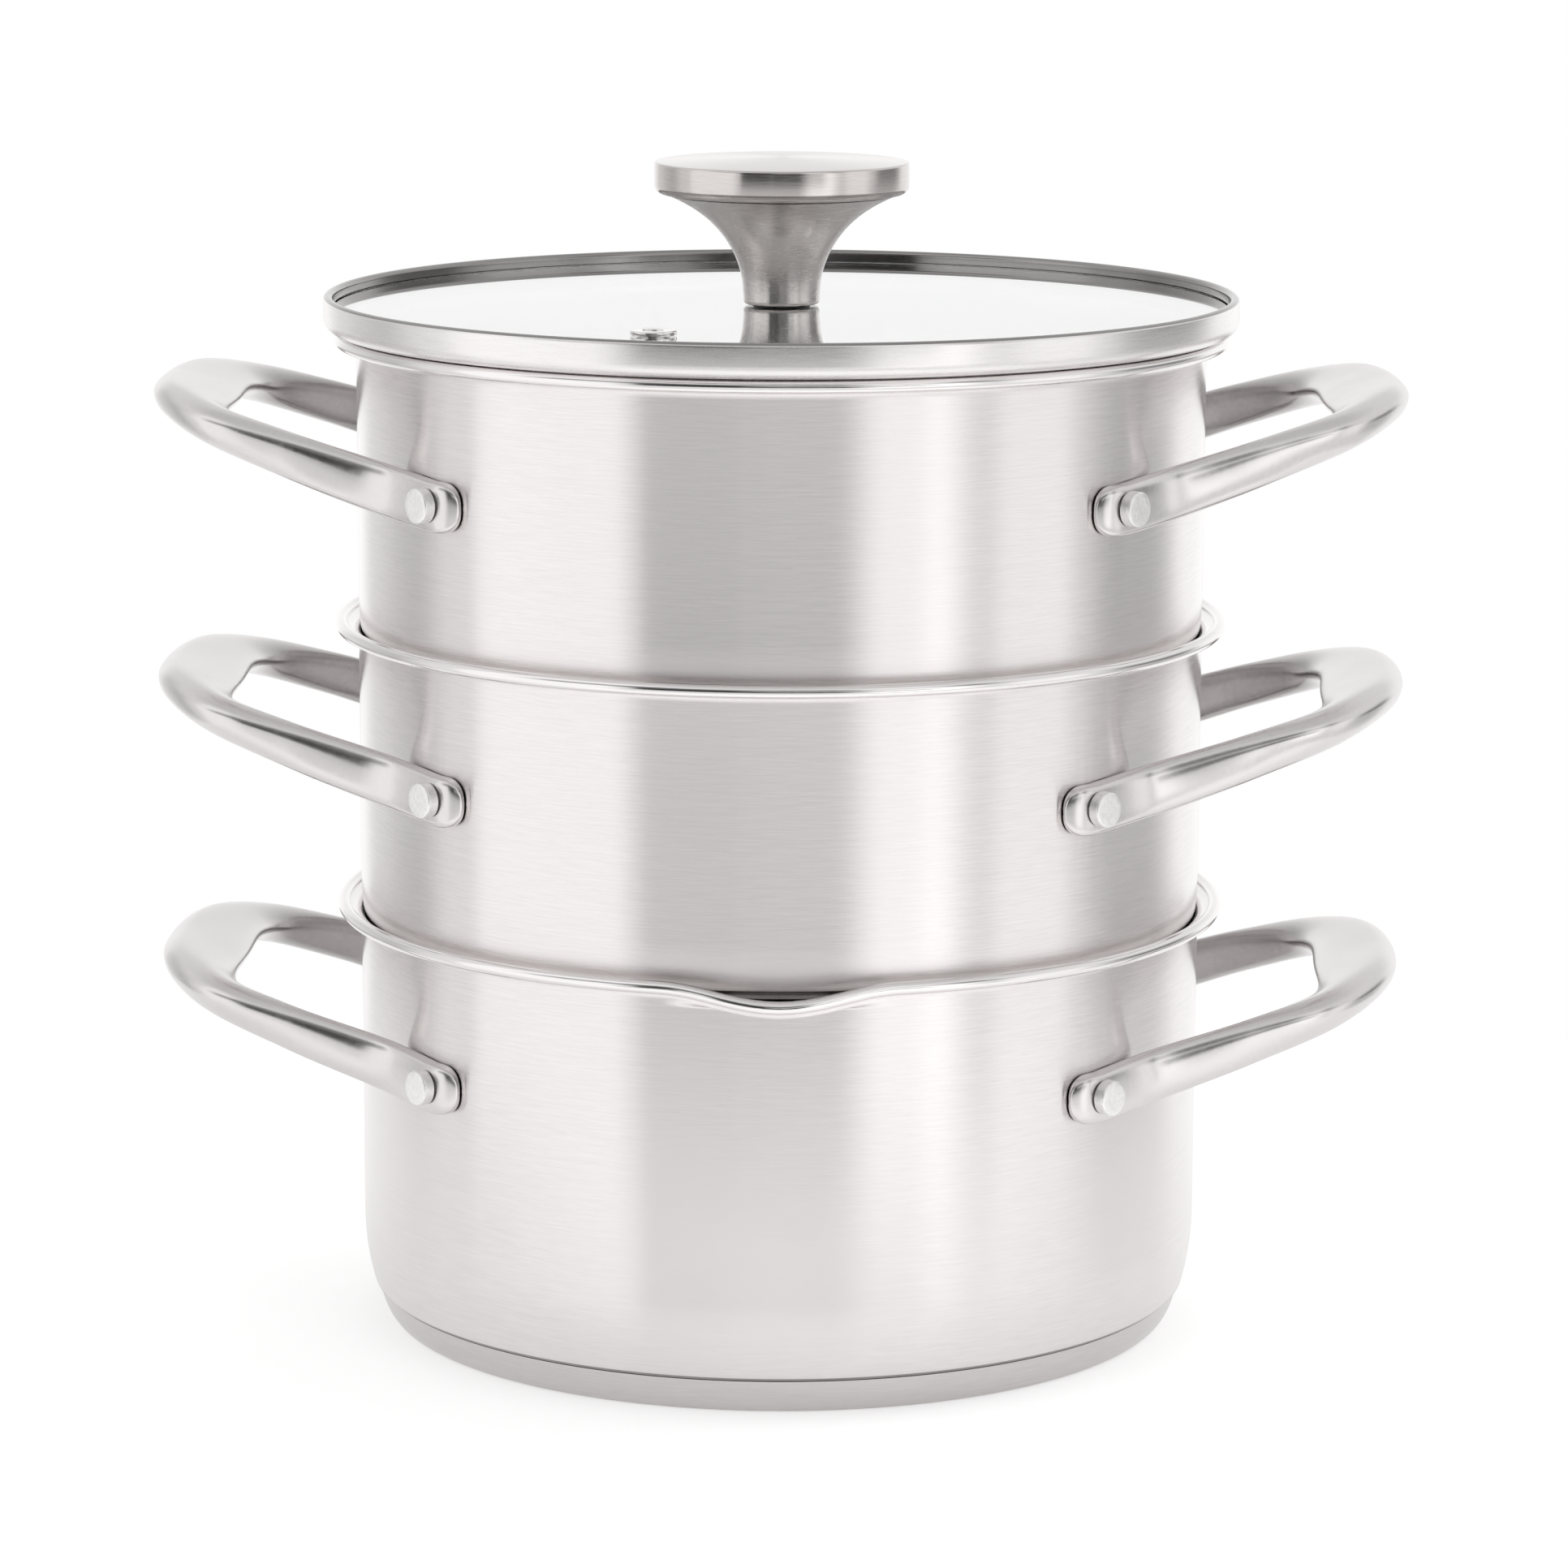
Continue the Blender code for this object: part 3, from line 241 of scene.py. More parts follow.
class Finishes(bpy.types.PropertyGroup):
    """Colours and gloss of the steel, the glass and the silicone."""
    wall_colour: colour("Wall steel", (0.83, 0.80, 0.795), "Brushed steel of the walls")
    bead_colour: colour("Bead steel", (0.86, 0.835, 0.83), "Polished steel of the beads and band")
    base_colour: colour("Base steel", (0.68, 0.655, 0.65), "Brushed steel of the base")
    inside_colour: colour("Inside steel", (0.68, 0.655, 0.65), "Satin steel inside the vessels")
    # Painted shade: a dark steel that stands in for the shade in the gaps round the nest walls,
    # inside the lid's band and under the pot
    nest_colour: colour("Nest steel", (0.32, 0.31, 0.305), "Nest walls and inside of the band")
    handle_colour: colour("Handle steel", (0.74, 0.715, 0.71), "Satin steel of the handles")
    knob_colour: colour("Knob steel", (0.66, 0.625, 0.61), "Brushed steel of the knob's cap")
    stem_colour: colour("Stem steel", (0.80, 0.765, 0.75), "Brushed steel of the knob's stem")
    rivet_colour: colour("Rivet steel", (0.94, 0.93, 0.925), "Blasted steel of the rivets")
    core_colour: colour("Core aluminium", (0.75, 0.75, 0.76), "Aluminium inside the base")
    glass_colour: colour("Glass", (0.97, 0.985, 0.98), "Clear glass of the lid")
    silicone_colour: colour("Silicone", (0.05, 0.05, 0.05), "Silicone of the gasket and washer")
    brushing: share("Brushing", 0.96, "How far the brushing draws out a reflection")
    wall_roughness: share("Wall roughness", 0.23, "Roughness of the brushed walls")
    bead_roughness: share("Bead roughness", 0.13, "Roughness of the polished beads")
    band_roughness: share("Band roughness", 0.27, "Roughness of the lid's band")
    inside_roughness: share("Inside roughness", 0.15, "Roughness inside the vessels")
    # Painted shade: how much darker the inner side of a handle's leg is made, standing in for the
    # shade between the leg and the wall
    inner_painted_shade: share("Inner shade", 0.42, "How much darker a leg's unpolished inner side is")
    handle_roughness: share("Handle roughness", 0.24, "Roughness of the handles")
    knob_roughness: share("Knob roughness", 0.17, "Roughness of the knob's cap")
    stem_roughness: share("Stem roughness", 0.25, "Roughness of the knob's stem")
    rivet_roughness: share("Rivet roughness", 0.42, "Roughness of the rivets")


class StudioSizes(bpy.types.PropertyGroup):
    """The table, the camera and the light."""
    table_radius: length("Table radius", 0.36, "Radius of the pale table")
    table_white: share("Table white", 0.90, "How pale the table is")
    camera_side: place("Camera side", 0.00098, "Camera to the side of the stack")
    camera_distance: length("Camera distance", 1.385, "Camera in front of the stack")
    camera_height: length("Camera height", 0.391, "Camera over the table")
    camera_tilt: angle("Camera tilt", 10.7143, "Camera looks down by this")
    camera_roll: angle("Camera roll", 0.189, "Camera is turned by this about its view")
    lens: FloatProperty(name="Lens", description="Focal length in millimetres", default=134.29)
    surround: share("Surround", 0.84, "Level of the room all around", 2.0)
    backdrop: share("Backdrop", 0.22, "What the backdrop adds behind the stack", 2.0)
    left_box: share("Left soft box", 0.27, "What the soft box at the front left adds", 2.0)
    right_box: share("Right soft box", 0.62, "What the soft box at the upper right adds", 2.0)
    stand: share("Stand", 0.82, "How much the stand at the camera's left takes away", 2.0)
    camera_shade: share("Camera shade", 0.82, "How much the camera takes away", 2.0)
    left_gap: share("Left gap", 0.26, "How much darker it is far to the left")
    right_gap: share("Right gap", 0.24, "How much darker it is far to the right")
    side_box: share("Side soft box", 0.22, "What a low soft box at the right adds", 2.0)
    side_shade: share("Side shade", 0.34, "How much a low screen at the right takes away")
    high_shade: share("High shade", 0.66, "How much a high screen in front takes away")
    ceiling_gap: share("Ceiling", 0.20, "How much darker the ceiling is")
    darkest: share("Darkest", 0.03, "Level of the darkest place")
    table_lift: share("Table lift", 0.44, "What makes the table white where it is seen")
    key_power: FloatProperty(name="Key power", description="Power of the key lamp in watts",
                             default=3.0, min=0.0, unit="POWER")
    key_size: length("Key size", 0.9, "Width of the key lamp")


GROUPS = {"vessel": VesselSizes, "spout": SpoutSizes, "steam_holes": SteamHoleSizes,
          "handle": HandleSizes, "rivet": RivetSizes, "lid": LidSizes, "knob": KnobSizes,
          "finish": Finishes, "studio": StudioSizes}


def group(context, name):
    return getattr(context.scene, "steamer_" + name)


class Levels:
    """Radii and heights that follow from the sizes."""

    def __init__(self, context):
        vessel, lid, knob = (group(context, name) for name in ("vessel", "lid", "knob"))
        gap = vessel.fit_gap
        self.body = vessel.inner_radius + vessel.wall
        self.flare = vessel.inner_radius + vessel.flare_radius
        self.bead = self.flare + vessel.bead_radius
        self.base_top = self.body - vessel.base_top_step
        self.base_foot = self.base_top - vessel.base_lean
        self.taper_angle = 2.0 * math.atan2(vessel.taper_depth, vessel.taper_height)
        self.shoulder_drop = vessel.shoulder_radius * math.sin(self.taper_angle)
        self.shoulder = (self.body - vessel.taper_depth
                         - vessel.shoulder_radius * math.cos(self.taper_angle))
        rest = vessel.shoulder_radius + vessel.flare_radius + gap
        rise = (math.sqrt(rest ** 2 - (self.flare - self.shoulder) ** 2)
                - vessel.flare_radius - self.shoulder_drop)
        self.pitch = rise + vessel.steamer_height
        self.rims = {tier: vessel.pot_rim + self.pitch * index
                     for index, tier in enumerate(TIERS)}
        self.pad_back = self.body + gap
        self.pad_face = self.pad_back + group(context, "handle").pad_thickness
        self.lid = self.bead + vessel.bead_radius + lid.overhang
        self.lid_seat = self.rims["top"] + vessel.bead_radius + gap
        self.glass = self.lid_seat + lid.seat_wall + gap
        self.glass_top = self.glass + lid.glass_thickness
        self.lid_top = self.glass_top + lid.band_rise
        self.stem = self.glass_top + gap
        self.stem_recess = self.stem + knob.gasket + gap
        self.stem_floor = self.stem_recess + knob.stem_floor
        self.stem_top = self.stem + knob.stem_height
        self.cap = self.stem_top + gap
        self.screw_hole = knob.screw_radius + gap
        self.pad_washer = self.glass - gap
        self.steel_washer = self.pad_washer - knob.washer - gap
        self.screw_seat = self.steel_washer - knob.washer - gap
        self.screw_top = self.stem_floor + gap + knob.insert_height - knob.insert_spare


# Node trees

def add_node(tree, kind, inputs=None, **settings):
    """A new node, with its settings and with values or links in its inputs."""
    node = tree.nodes.new(kind)
    for key, value in settings.items():
        setattr(node, key, value)
    for key, value in (inputs or {}).items():
        if isinstance(value, bpy.types.NodeSocket):
            tree.links.new(value, node.inputs[key])
        else:
            node.inputs[key].default_value = value
    return node


def calculate(tree, operation, *values):
    """A Math node's result."""
    return add_node(tree, "ShaderNodeMath", dict(enumerate(values)),
                    operation=operation).outputs[0]


def combine(tree, x, y, z):
    return add_node(tree, "ShaderNodeCombineXYZ", {0: x, 1: y, 2: z}).outputs[0]


def add_sockets(tree, inputs, outputs):
    """Named inputs with defaults, and named outputs, on a node group."""
    for name, kind, default in inputs:
        socket = tree.interface.new_socket(name, in_out="INPUT", socket_type="NodeSocket" + kind)
        if default is not None:
            socket.default_value = default
    for name, kind in outputs:
        tree.interface.new_socket(name, in_out="OUTPUT", socket_type="NodeSocket" + kind)
    return tree.nodes.new("NodeGroupInput").outputs, tree.nodes.new("NodeGroupOutput").inputs


def start_geometry(name, sizes):
    """A geometry tree with a mesh and a material in, named sizes, and a mesh out."""
    tree = bpy.data.node_groups.new(name, "GeometryNodeTree")
    sockets = [("Geometry", "Geometry", None), *sizes, ("Material", "Material", None)]
    given, result = add_sockets(tree, sockets, [("Geometry", "Geometry")])
    return tree, given, result


def end_geometry(tree, given, result, mesh, keep=None):
    """Realize what the tree made and give it its material, apart from faces of a kept one."""
    real = add_node(tree, "GeometryNodeRealizeInstances", {"Geometry": mesh})
    dress = add_node(tree, "GeometryNodeSetMaterial",
                     {"Geometry": real.outputs[0], "Material": given["Material"]})
    if keep is not None:
        kept = add_node(tree, "GeometryNodeMaterialSelection", {"Material": keep})
        other = add_node(tree, "FunctionNodeBooleanMath", {0: kept.outputs[0]}, operation="NOT")
        tree.links.new(other.outputs[0], dress.inputs["Selection"])
    tree.links.new(dress.outputs[0], result["Geometry"])
    return tree


def turning_tree():
    """Turns a line of points in the XZ plane about the Z axis."""
    tree, given, result = start_geometry("turn about the axis", [("Steps", "Int", 240)])
    size = add_node(tree, "GeometryNodeAttributeDomainSize", {"Geometry": given["Geometry"]},
                    component="MESH")
    points = size.outputs["Point Count"]
    columns = calculate(tree, "ADD", given["Steps"], 1)
    grid = add_node(tree, "GeometryNodeMeshGrid", {"Vertices X": columns, "Vertices Y": points})
    index = add_node(tree, "GeometryNodeInputIndex").outputs[0]
    column = calculate(tree, "FLOOR", calculate(tree, "DIVIDE",
                                                calculate(tree, "ADD", index, 0.5), points))
    row = calculate(tree, "SUBTRACT", index, calculate(tree, "MULTIPLY", column, points))
    position = add_node(tree, "GeometryNodeInputPosition").outputs[0]
    line = add_node(tree, "GeometryNodeSampleIndex", {"Geometry": given["Geometry"],
                                                      "Value": position, "Index": row},
                    data_type="FLOAT_VECTOR", domain="POINT")
    around = calculate(tree, "MULTIPLY", column,
                       calculate(tree, "DIVIDE", 2.0 * math.pi, given["Steps"]))
    turned = add_node(tree, "ShaderNodeVectorRotate",
                      {"Vector": line.outputs[0], "Angle": around}, rotation_type="Z_AXIS")
    placed = add_node(tree, "GeometryNodeSetPosition",
                      {"Geometry": grid.outputs["Mesh"], "Position": turned.outputs[0]})
    share_around = calculate(tree, "DIVIDE", column, given["Steps"])
    along = add_node(tree, "GeometryNodeInputNamedAttribute", {"Name": "along"},
                     data_type="FLOAT")
    share_along = add_node(tree, "GeometryNodeSampleIndex", {
        "Geometry": given["Geometry"], "Value": along.outputs["Attribute"], "Index": row},
        data_type="FLOAT", domain="POINT").outputs[0]
    mapped = add_node(tree, "GeometryNodeStoreNamedAttribute", {
        "Geometry": placed.outputs[0], "Name": "OFBake",
        "Value": combine(tree, share_around, share_along, 0.0)},
        data_type="FLOAT2", domain="CORNER")
    welded = add_node(tree, "GeometryNodeMergeByDistance",
                      {"Geometry": mapped.outputs[0], "Distance": WELD})
    return end_geometry(tree, given, result, welded.outputs[0])


def spout_tree():
    """Presses a pouring lip into the front of a turned rim."""
    tree, given, result = start_geometry("pouring lip", [
        ("Half Angle", "Float", 0.26), ("Reach", "Float", 0.004), ("Dip", "Float", 0.003),
        ("Low Height", "Float", 0.089), ("Full Height", "Float", 0.098),
        ("Rim Material", "Material", None)])
    position = add_node(tree, "GeometryNodeInputPosition").outputs[0]
    parts = add_node(tree, "ShaderNodeSeparateXYZ", {0: position}).outputs
    turn = calculate(tree, "ARCTAN2", parts["X"], calculate(tree, "MULTIPLY", parts["Y"], -1.0))
    part = add_node(tree, "ShaderNodeMapRange", {
        "Value": calculate(tree, "ABSOLUTE", turn), "From Max": given["Half Angle"],
        "To Max": math.pi / 2.0}).outputs[0]
    around = calculate(tree, "POWER", calculate(tree, "COSINE", part), 2.0)
    height = add_node(tree, "ShaderNodeMapRange", {
        "Value": parts["Z"], "From Min": given["Low Height"], "From Max": given["Full Height"]},
        interpolation_type="SMOOTHSTEP").outputs[0]
    pull = calculate(tree, "MULTIPLY", around, height)
    flat = add_node(tree, "ShaderNodeVectorMath",
                    {0: combine(tree, parts["X"], parts["Y"], 0.0)}, operation="NORMALIZE")
    out = add_node(tree, "ShaderNodeVectorMath", {
        0: flat.outputs[0], "Scale": calculate(tree, "MULTIPLY", pull, given["Reach"])},
        operation="SCALE")
    down = combine(tree, 0.0, 0.0, calculate(
        tree, "MULTIPLY", calculate(tree, "MULTIPLY", pull, given["Dip"]), -1.0))
    offset = add_node(tree, "ShaderNodeVectorMath", {0: out.outputs[0], 1: down})
    pressed = add_node(tree, "GeometryNodeSetPosition",
                       {"Geometry": given["Geometry"], "Offset": offset.outputs[0]})
    return end_geometry(tree, given, result, pressed.outputs[0], given["Rim Material"])


def steam_holes_tree():
    """Cuts rings of holes into a floor: one hole, then six more to each ring than to the last."""
    tree, given, result = start_geometry("steam holes", [
        ("Radius", "Float", 0.0035), ("Pitch", "Float", 0.02), ("Rings", "Int", 3),
        ("Sides", "Int", 28), ("Height", "Float", 0.09), ("Depth", "Float", 0.004),
        ("Rim Material", "Material", None)])
    rings = given["Rings"]
    holes = calculate(tree, "ADD", 1.0, calculate(
        tree, "MULTIPLY", 3.0, calculate(tree, "MULTIPLY", rings,
                                         calculate(tree, "ADD", rings, 1.0))))
    line = add_node(tree, "GeometryNodeMeshLine", {"Count": holes})
    index = add_node(tree, "GeometryNodeInputIndex").outputs[0]
    root = calculate(tree, "SQRT", calculate(tree, "MULTIPLY_ADD", index, 12.0, 9.0))
    ring = calculate(tree, "CEIL", calculate(tree, "MULTIPLY_ADD", root, 1.0 / 6.0, -0.501))
    before = calculate(tree, "MULTIPLY", 3.0, calculate(
        tree, "MULTIPLY", ring, calculate(tree, "SUBTRACT", ring, 1.0)))
    step = calculate(tree, "SUBTRACT", calculate(tree, "SUBTRACT", index, before), 1.0)
    turn = calculate(tree, "MULTIPLY", calculate(tree, "DIVIDE", step, ring), math.pi / 3.0)
    reach = calculate(tree, "MULTIPLY", ring, given["Pitch"])
    spot = combine(tree, calculate(tree, "MULTIPLY", reach, calculate(tree, "COSINE", turn)),
                   calculate(tree, "MULTIPLY", reach, calculate(tree, "SINE", turn)),
                   given["Height"])
    placed = add_node(tree, "GeometryNodeSetPosition",
                      {"Geometry": line.outputs[0], "Position": spot})
    rod = add_node(tree, "GeometryNodeMeshCylinder", {
        "Vertices": given["Sides"], "Radius": given["Radius"], "Depth": given["Depth"]})
    rods = add_node(tree, "GeometryNodeInstanceOnPoints",
                    {"Points": placed.outputs[0], "Instance": rod.outputs["Mesh"]})
    real = add_node(tree, "GeometryNodeRealizeInstances", {"Geometry": rods.outputs[0]})
    cut = add_node(tree, "GeometryNodeMeshBoolean", {"Mesh 1": given["Geometry"]},
                   operation="DIFFERENCE", solver="EXACT")
    tree.links.new(real.outputs[0], cut.inputs["Mesh 2"])
    return end_geometry(tree, given, result, cut.outputs["Mesh"], given["Rim Material"])


def rivets_tree():
    """Sets a rivet into each foot of a vessel's two handles."""
    tree, given, result = start_geometry("rivets", [
        ("Radius", "Float", 0.1), ("Height", "Float", 0.07), ("Half Spread", "Float", 0.7),
        ("Left Turn", "Float", 0.0), ("Right Turn", "Float", 0.0)])
    line = add_node(tree, "GeometryNodeMeshLine", {"Count": 4})
    index = add_node(tree, "GeometryNodeInputIndex").outputs[0]
    on_left = calculate(tree, "LESS_THAN", index, 2.0)
    left = calculate(tree, "MULTIPLY", on_left,
                     calculate(tree, "ADD", given["Left Turn"], math.pi))
    right = calculate(tree, "MULTIPLY", calculate(tree, "SUBTRACT", 1.0, on_left),
                      given["Right Turn"])
    sign = calculate(tree, "MULTIPLY_ADD", calculate(tree, "MODULO", index, 2.0), 2.0, -1.0)
    turn = calculate(tree, "ADD", calculate(tree, "ADD", left, right),
                     calculate(tree, "MULTIPLY", sign, given["Half Spread"]))
    spot = combine(tree, calculate(tree, "MULTIPLY", given["Radius"],
                                   calculate(tree, "COSINE", turn)),
                   calculate(tree, "MULTIPLY", given["Radius"], calculate(tree, "SINE", turn)),
                   given["Height"])
    placed = add_node(tree, "GeometryNodeSetPosition",
                      {"Geometry": line.outputs[0], "Position": spot})
    outward = add_node(tree, "FunctionNodeEulerToRotation",
                       {0: combine(tree, 0.0, math.pi / 2.0, turn)})
    rivets = add_node(tree, "GeometryNodeInstanceOnPoints", {
        "Points": placed.outputs[0], "Instance": given["Geometry"],
        "Rotation": outward.outputs[0]})
    return end_geometry(tree, given, result, rivets.outputs[0])


def tree_named(name, make):
    return bpy.data.node_groups.get(name) or make()


# Meshes

def place_object(name, data):
    """A new object in the scene, at the origin."""
    thing = bpy.data.objects.new(name, data)
    bpy.context.scene.collection.objects.link(thing)
    return thing


def finished_mesh(name, holder):
    """The plain mesh that an object's modifiers make. The object is used up."""
    graph = bpy.context.evaluated_depsgraph_get()
    mesh = bpy.data.meshes.new_from_object(holder.evaluated_get(graph))
    bpy.data.objects.remove(holder)
    mesh.name = name
    return mesh


def grow(name, mesh, tree, values):
    """The mesh that a geometry tree makes from a starting mesh."""
    holder = place_object(name, mesh)
    modifier = holder.modifiers.new(tree.name, "NODES")
    modifier.node_group = tree
    for item in tree.interface.items_tree:
        if item.item_type == "SOCKET" and item.in_out == "INPUT" and item.name in values:
            modifier[item.identifier] = values[item.name]
    return finished_mesh(name, holder)


def edit(mesh, change):
    """Let a function change a mesh's points and faces."""
    shape = bmesh.new()
    shape.from_mesh(mesh)
    change(shape)
    shape.to_mesh(mesh)
    shape.free()
    return mesh


def close_and_smooth(mesh):
    """Weld the mesh, point its faces outwards and keep only its real edges sharp."""
    def change(shape):
        bmesh.ops.remove_doubles(shape, verts=shape.verts, dist=WELD)
        bmesh.ops.dissolve_degenerate(shape, edges=shape.edges, dist=WELD / 2.0)
        bmesh.ops.recalc_face_normals(shape, faces=shape.faces)

    edit(mesh, change)
    mesh.shade_smooth()
    mesh.set_sharp_from_angle(angle=SHARP_ANGLE)
    return mesh


def flatten_discs(radius):
    """A change that joins all level faces inside a radius into one face at each height."""
    def change(shape):
        limit = radius + WELD
        flat = [face for face in shape.faces if abs(face.normal.z) > LEVEL_NORMAL
                and all(point.co.xy.length < limit for point in face.verts)]
        bmesh.ops.dissolve_faces(shape, faces=flat)
    return change


def turned(name, profile, steps, material, closed=False):
    """Mesh of a turned piece, from its profile of radii and heights."""
    points = profile + profile[:1] if closed else profile
    line = bpy.data.meshes.new(name + "_profile")
    line.from_pydata([(radius, 0.0, height) for radius, height in points],
                     [(index, index + 1) for index in range(len(points) - 1)], [])
    runs = np.cumsum([0.0] + [math.dist(*pair) for pair in zip(points, points[1:])])
    line.attributes.new("along", "FLOAT", "POINT").data.foreach_set("value", runs / runs[-1])
    tree = tree_named("turn about the axis", turning_tree)
    mesh = grow(name, line, tree, {"Steps": steps, "Material": material})
    return close_and_smooth(mesh)


def add_piece(name, mesh, body, nodes):
    """The piece's object, which rides on its body and stands for its solids."""
    piece = place_object(name, mesh)
    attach(piece, body)
    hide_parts(*nodes)
    return piece


def rods(radius, depth, sides, places):
    """A hidden object of equal straight rods, to cut holes with."""
    def build(shape):
        for where in places:
            bmesh.ops.create_cone(shape, cap_ends=True, segments=sides, radius1=radius,
                                  radius2=radius, depth=depth, matrix=where)

    return place_object("rods", edit(bpy.data.meshes.new("rods"), build))


def cut_away(name, mesh, cutters):
    """The mesh after each cutter has been taken away from it. The cutters are used up."""
    holder = place_object(name, mesh)
    for cutter in cutters:
        boolean = holder.modifiers.new("cut", "BOOLEAN")
        boolean.operation = "DIFFERENCE"
        boolean.solver = "EXACT"
        boolean.object = cutter
    result = finished_mesh(name, holder)
    for cutter in cutters:
        bpy.data.objects.remove(cutter)
    return close_and_smooth(result)


def faces_inward(face):
    """Whether a face looks towards the axis or up."""
    return face.normal.xy.dot(face.center.xy) < 0.0 or face.normal.z > UPWARD_NORMAL


def paint(mesh, material, chosen):
    """Give a finish to the faces of a mesh that a test chooses."""
    if material.name not in mesh.materials:
        mesh.materials.append(material)
    index = mesh.materials.find(material.name)
    for face in mesh.polygons:
        if chosen(face):
            face.material_index = index


def spoke(turn, radius, height):
    """A frame whose Z points out from the axis at this turn, radius and height."""
    return (Matrix.Rotation(turn, 4, "Z") @ Matrix.Translation((radius, 0.0, height))
            @ Matrix.Rotation(math.pi / 2.0, 4, "Y"))


def arc(centre_r, centre_z, radius, start, end, points):
    """Points on a round arc between two angles in degrees, both included."""
    angles = np.radians(np.linspace(start, end, points))
    return [(centre_r + radius * math.cos(a), centre_z + radius * math.sin(a)) for a in angles]


# Shader groups

def start_shader_group(name, inputs, outputs):
    tree = bpy.data.node_groups.new(name, "ShaderNodeTree")
    given, result = add_sockets(tree, inputs, outputs)
    return tree, given, result


def turned_grain_group():
    """Fine lines around the axis, as a brush leaves them on a piece that turns."""
    tree, given, result = start_shader_group(
        "turned grain",
        [("Lines", "Float", 3200.0), ("Length", "Float", 14.0), ("Contrast", "Float", 1.0)],
        [("Height", "Float"), ("Shade", "Float")])
    spot = add_node(tree, "ShaderNodeTexCoord").outputs["Object"]
    parts = add_node(tree, "ShaderNodeSeparateXYZ", {0: spot}).outputs
    turn = calculate(tree, "ARCTAN2", parts["Y"], parts["X"])
    radius = calculate(tree, "SQRT", calculate(
        tree, "ADD", calculate(tree, "POWER", parts["X"], 2.0),
        calculate(tree, "POWER", parts["Y"], 2.0)))
    along = [calculate(tree, "MULTIPLY", calculate(tree, kind, turn), given["Length"])
             for kind in ("COSINE", "SINE")]
    up = calculate(tree, "MULTIPLY", parts["Z"], given["Lines"])
    out = calculate(tree, "MULTIPLY", radius, given["Lines"])
    noise = add_node(tree, "ShaderNodeTexNoise", {
        "Vector": combine(tree, *along, up), "W": out, "Scale": 1.0, "Detail": 2.0,
        "Roughness": 0.65}, noise_dimensions="4D").outputs["Fac"]
    tree.links.new(noise, result["Height"])
    spread = add_node(tree, "ShaderNodeMapRange", {
        "Value": noise, "From Min": 0.25, "From Max": 0.75}).outputs[0]
    middle = calculate(tree, "SUBTRACT", spread, 0.5)
    tree.links.new(calculate(tree, "MULTIPLY", middle, given["Contrast"]), result["Shade"])
    return tree


def handling_group():
    """Faint cloudy marks of handling and washing, and a few thin scratches."""
    tree, given, result = start_shader_group(
        "handling marks", [("Scale", "Float", 30.0), ("Strength", "Float", 1.0)],
        [("Marks", "Float"), ("Scratches", "Float")])
    spot = add_node(tree, "ShaderNodeTexCoord").outputs["Object"]
    cloud = add_node(tree, "ShaderNodeTexNoise", {
        "Vector": spot, "Scale": given["Scale"], "Detail": 4.0, "Roughness": 0.6}).outputs["Fac"]
    marks = calculate(tree, "MULTIPLY", calculate(tree, "SUBTRACT", cloud, 0.5),
                      given["Strength"])
    tree.links.new(marks, result["Marks"])
    tilted = add_node(tree, "ShaderNodeMapping", {
        "Vector": spot, "Rotation": (0.3, 0.5, 0.2), "Scale": (9.0, 9.0, 150.0)})
    lines = add_node(tree, "ShaderNodeTexNoise", {
        "Vector": tilted.outputs[0], "Scale": 6.0, "Detail": 0.0}).outputs["Fac"]
    thin = add_node(tree, "ShaderNodeMapRange", {
        "Value": calculate(tree, "ABSOLUTE", calculate(tree, "SUBTRACT", lines, 0.5)),
        "From Min": 0.0, "From Max": 0.004, "To Min": 1.0, "To Max": 0.0}).outputs[0]
    few = add_node(tree, "ShaderNodeTexNoise", {"Vector": spot, "Scale": 55.0}).outputs["Fac"]
    here = add_node(tree, "ShaderNodeMapRange", {
        "Value": few, "From Min": 0.62, "From Max": 0.68}).outputs[0]
    scratches = calculate(tree, "MULTIPLY", calculate(tree, "MULTIPLY", thin, here),
                          given["Strength"])
    tree.links.new(scratches, result["Scratches"])
    return tree


def place_group(tree, name, make, **values):
    """A shader group placed in a material with its own values, and the group's outputs."""
    node = tree.nodes.new("ShaderNodeGroup")
    node.node_tree = tree_named(name, make)
    for key, value in values.items():
        node.inputs[key.replace("_", " ").title()].default_value = value
    return node.outputs


# Materials

def made_once(make):
    """Make a material when it is first asked for, and give the same one from then on."""
    def material_named(name, *values, **settings):
        return bpy.data.materials.get(name) or make(name, *values, **settings)
    return material_named


def start_material(name, base, metallic, roughness):
    material = bpy.data.materials.new(name)
    material.use_nodes = True
    material.diffuse_color = (*base, 1.0)
    tree = material.node_tree
    shader = tree.nodes["Principled BSDF"]
    shader.inputs["Base Color"].default_value = (*base, 1.0)
    shader.inputs["Metallic"].default_value = metallic
    shader.inputs["Roughness"].default_value = roughness
    return material, tree, shader


def tone(tree, base, shade):
    """The base colour made a little lighter or darker by a shade around zero."""
    factor = calculate(tree, "ADD", 1.0, shade)
    scaled = add_node(tree, "ShaderNodeVectorMath", {0: base, "Scale": factor},
                      operation="SCALE")
    return scaled.outputs[0]


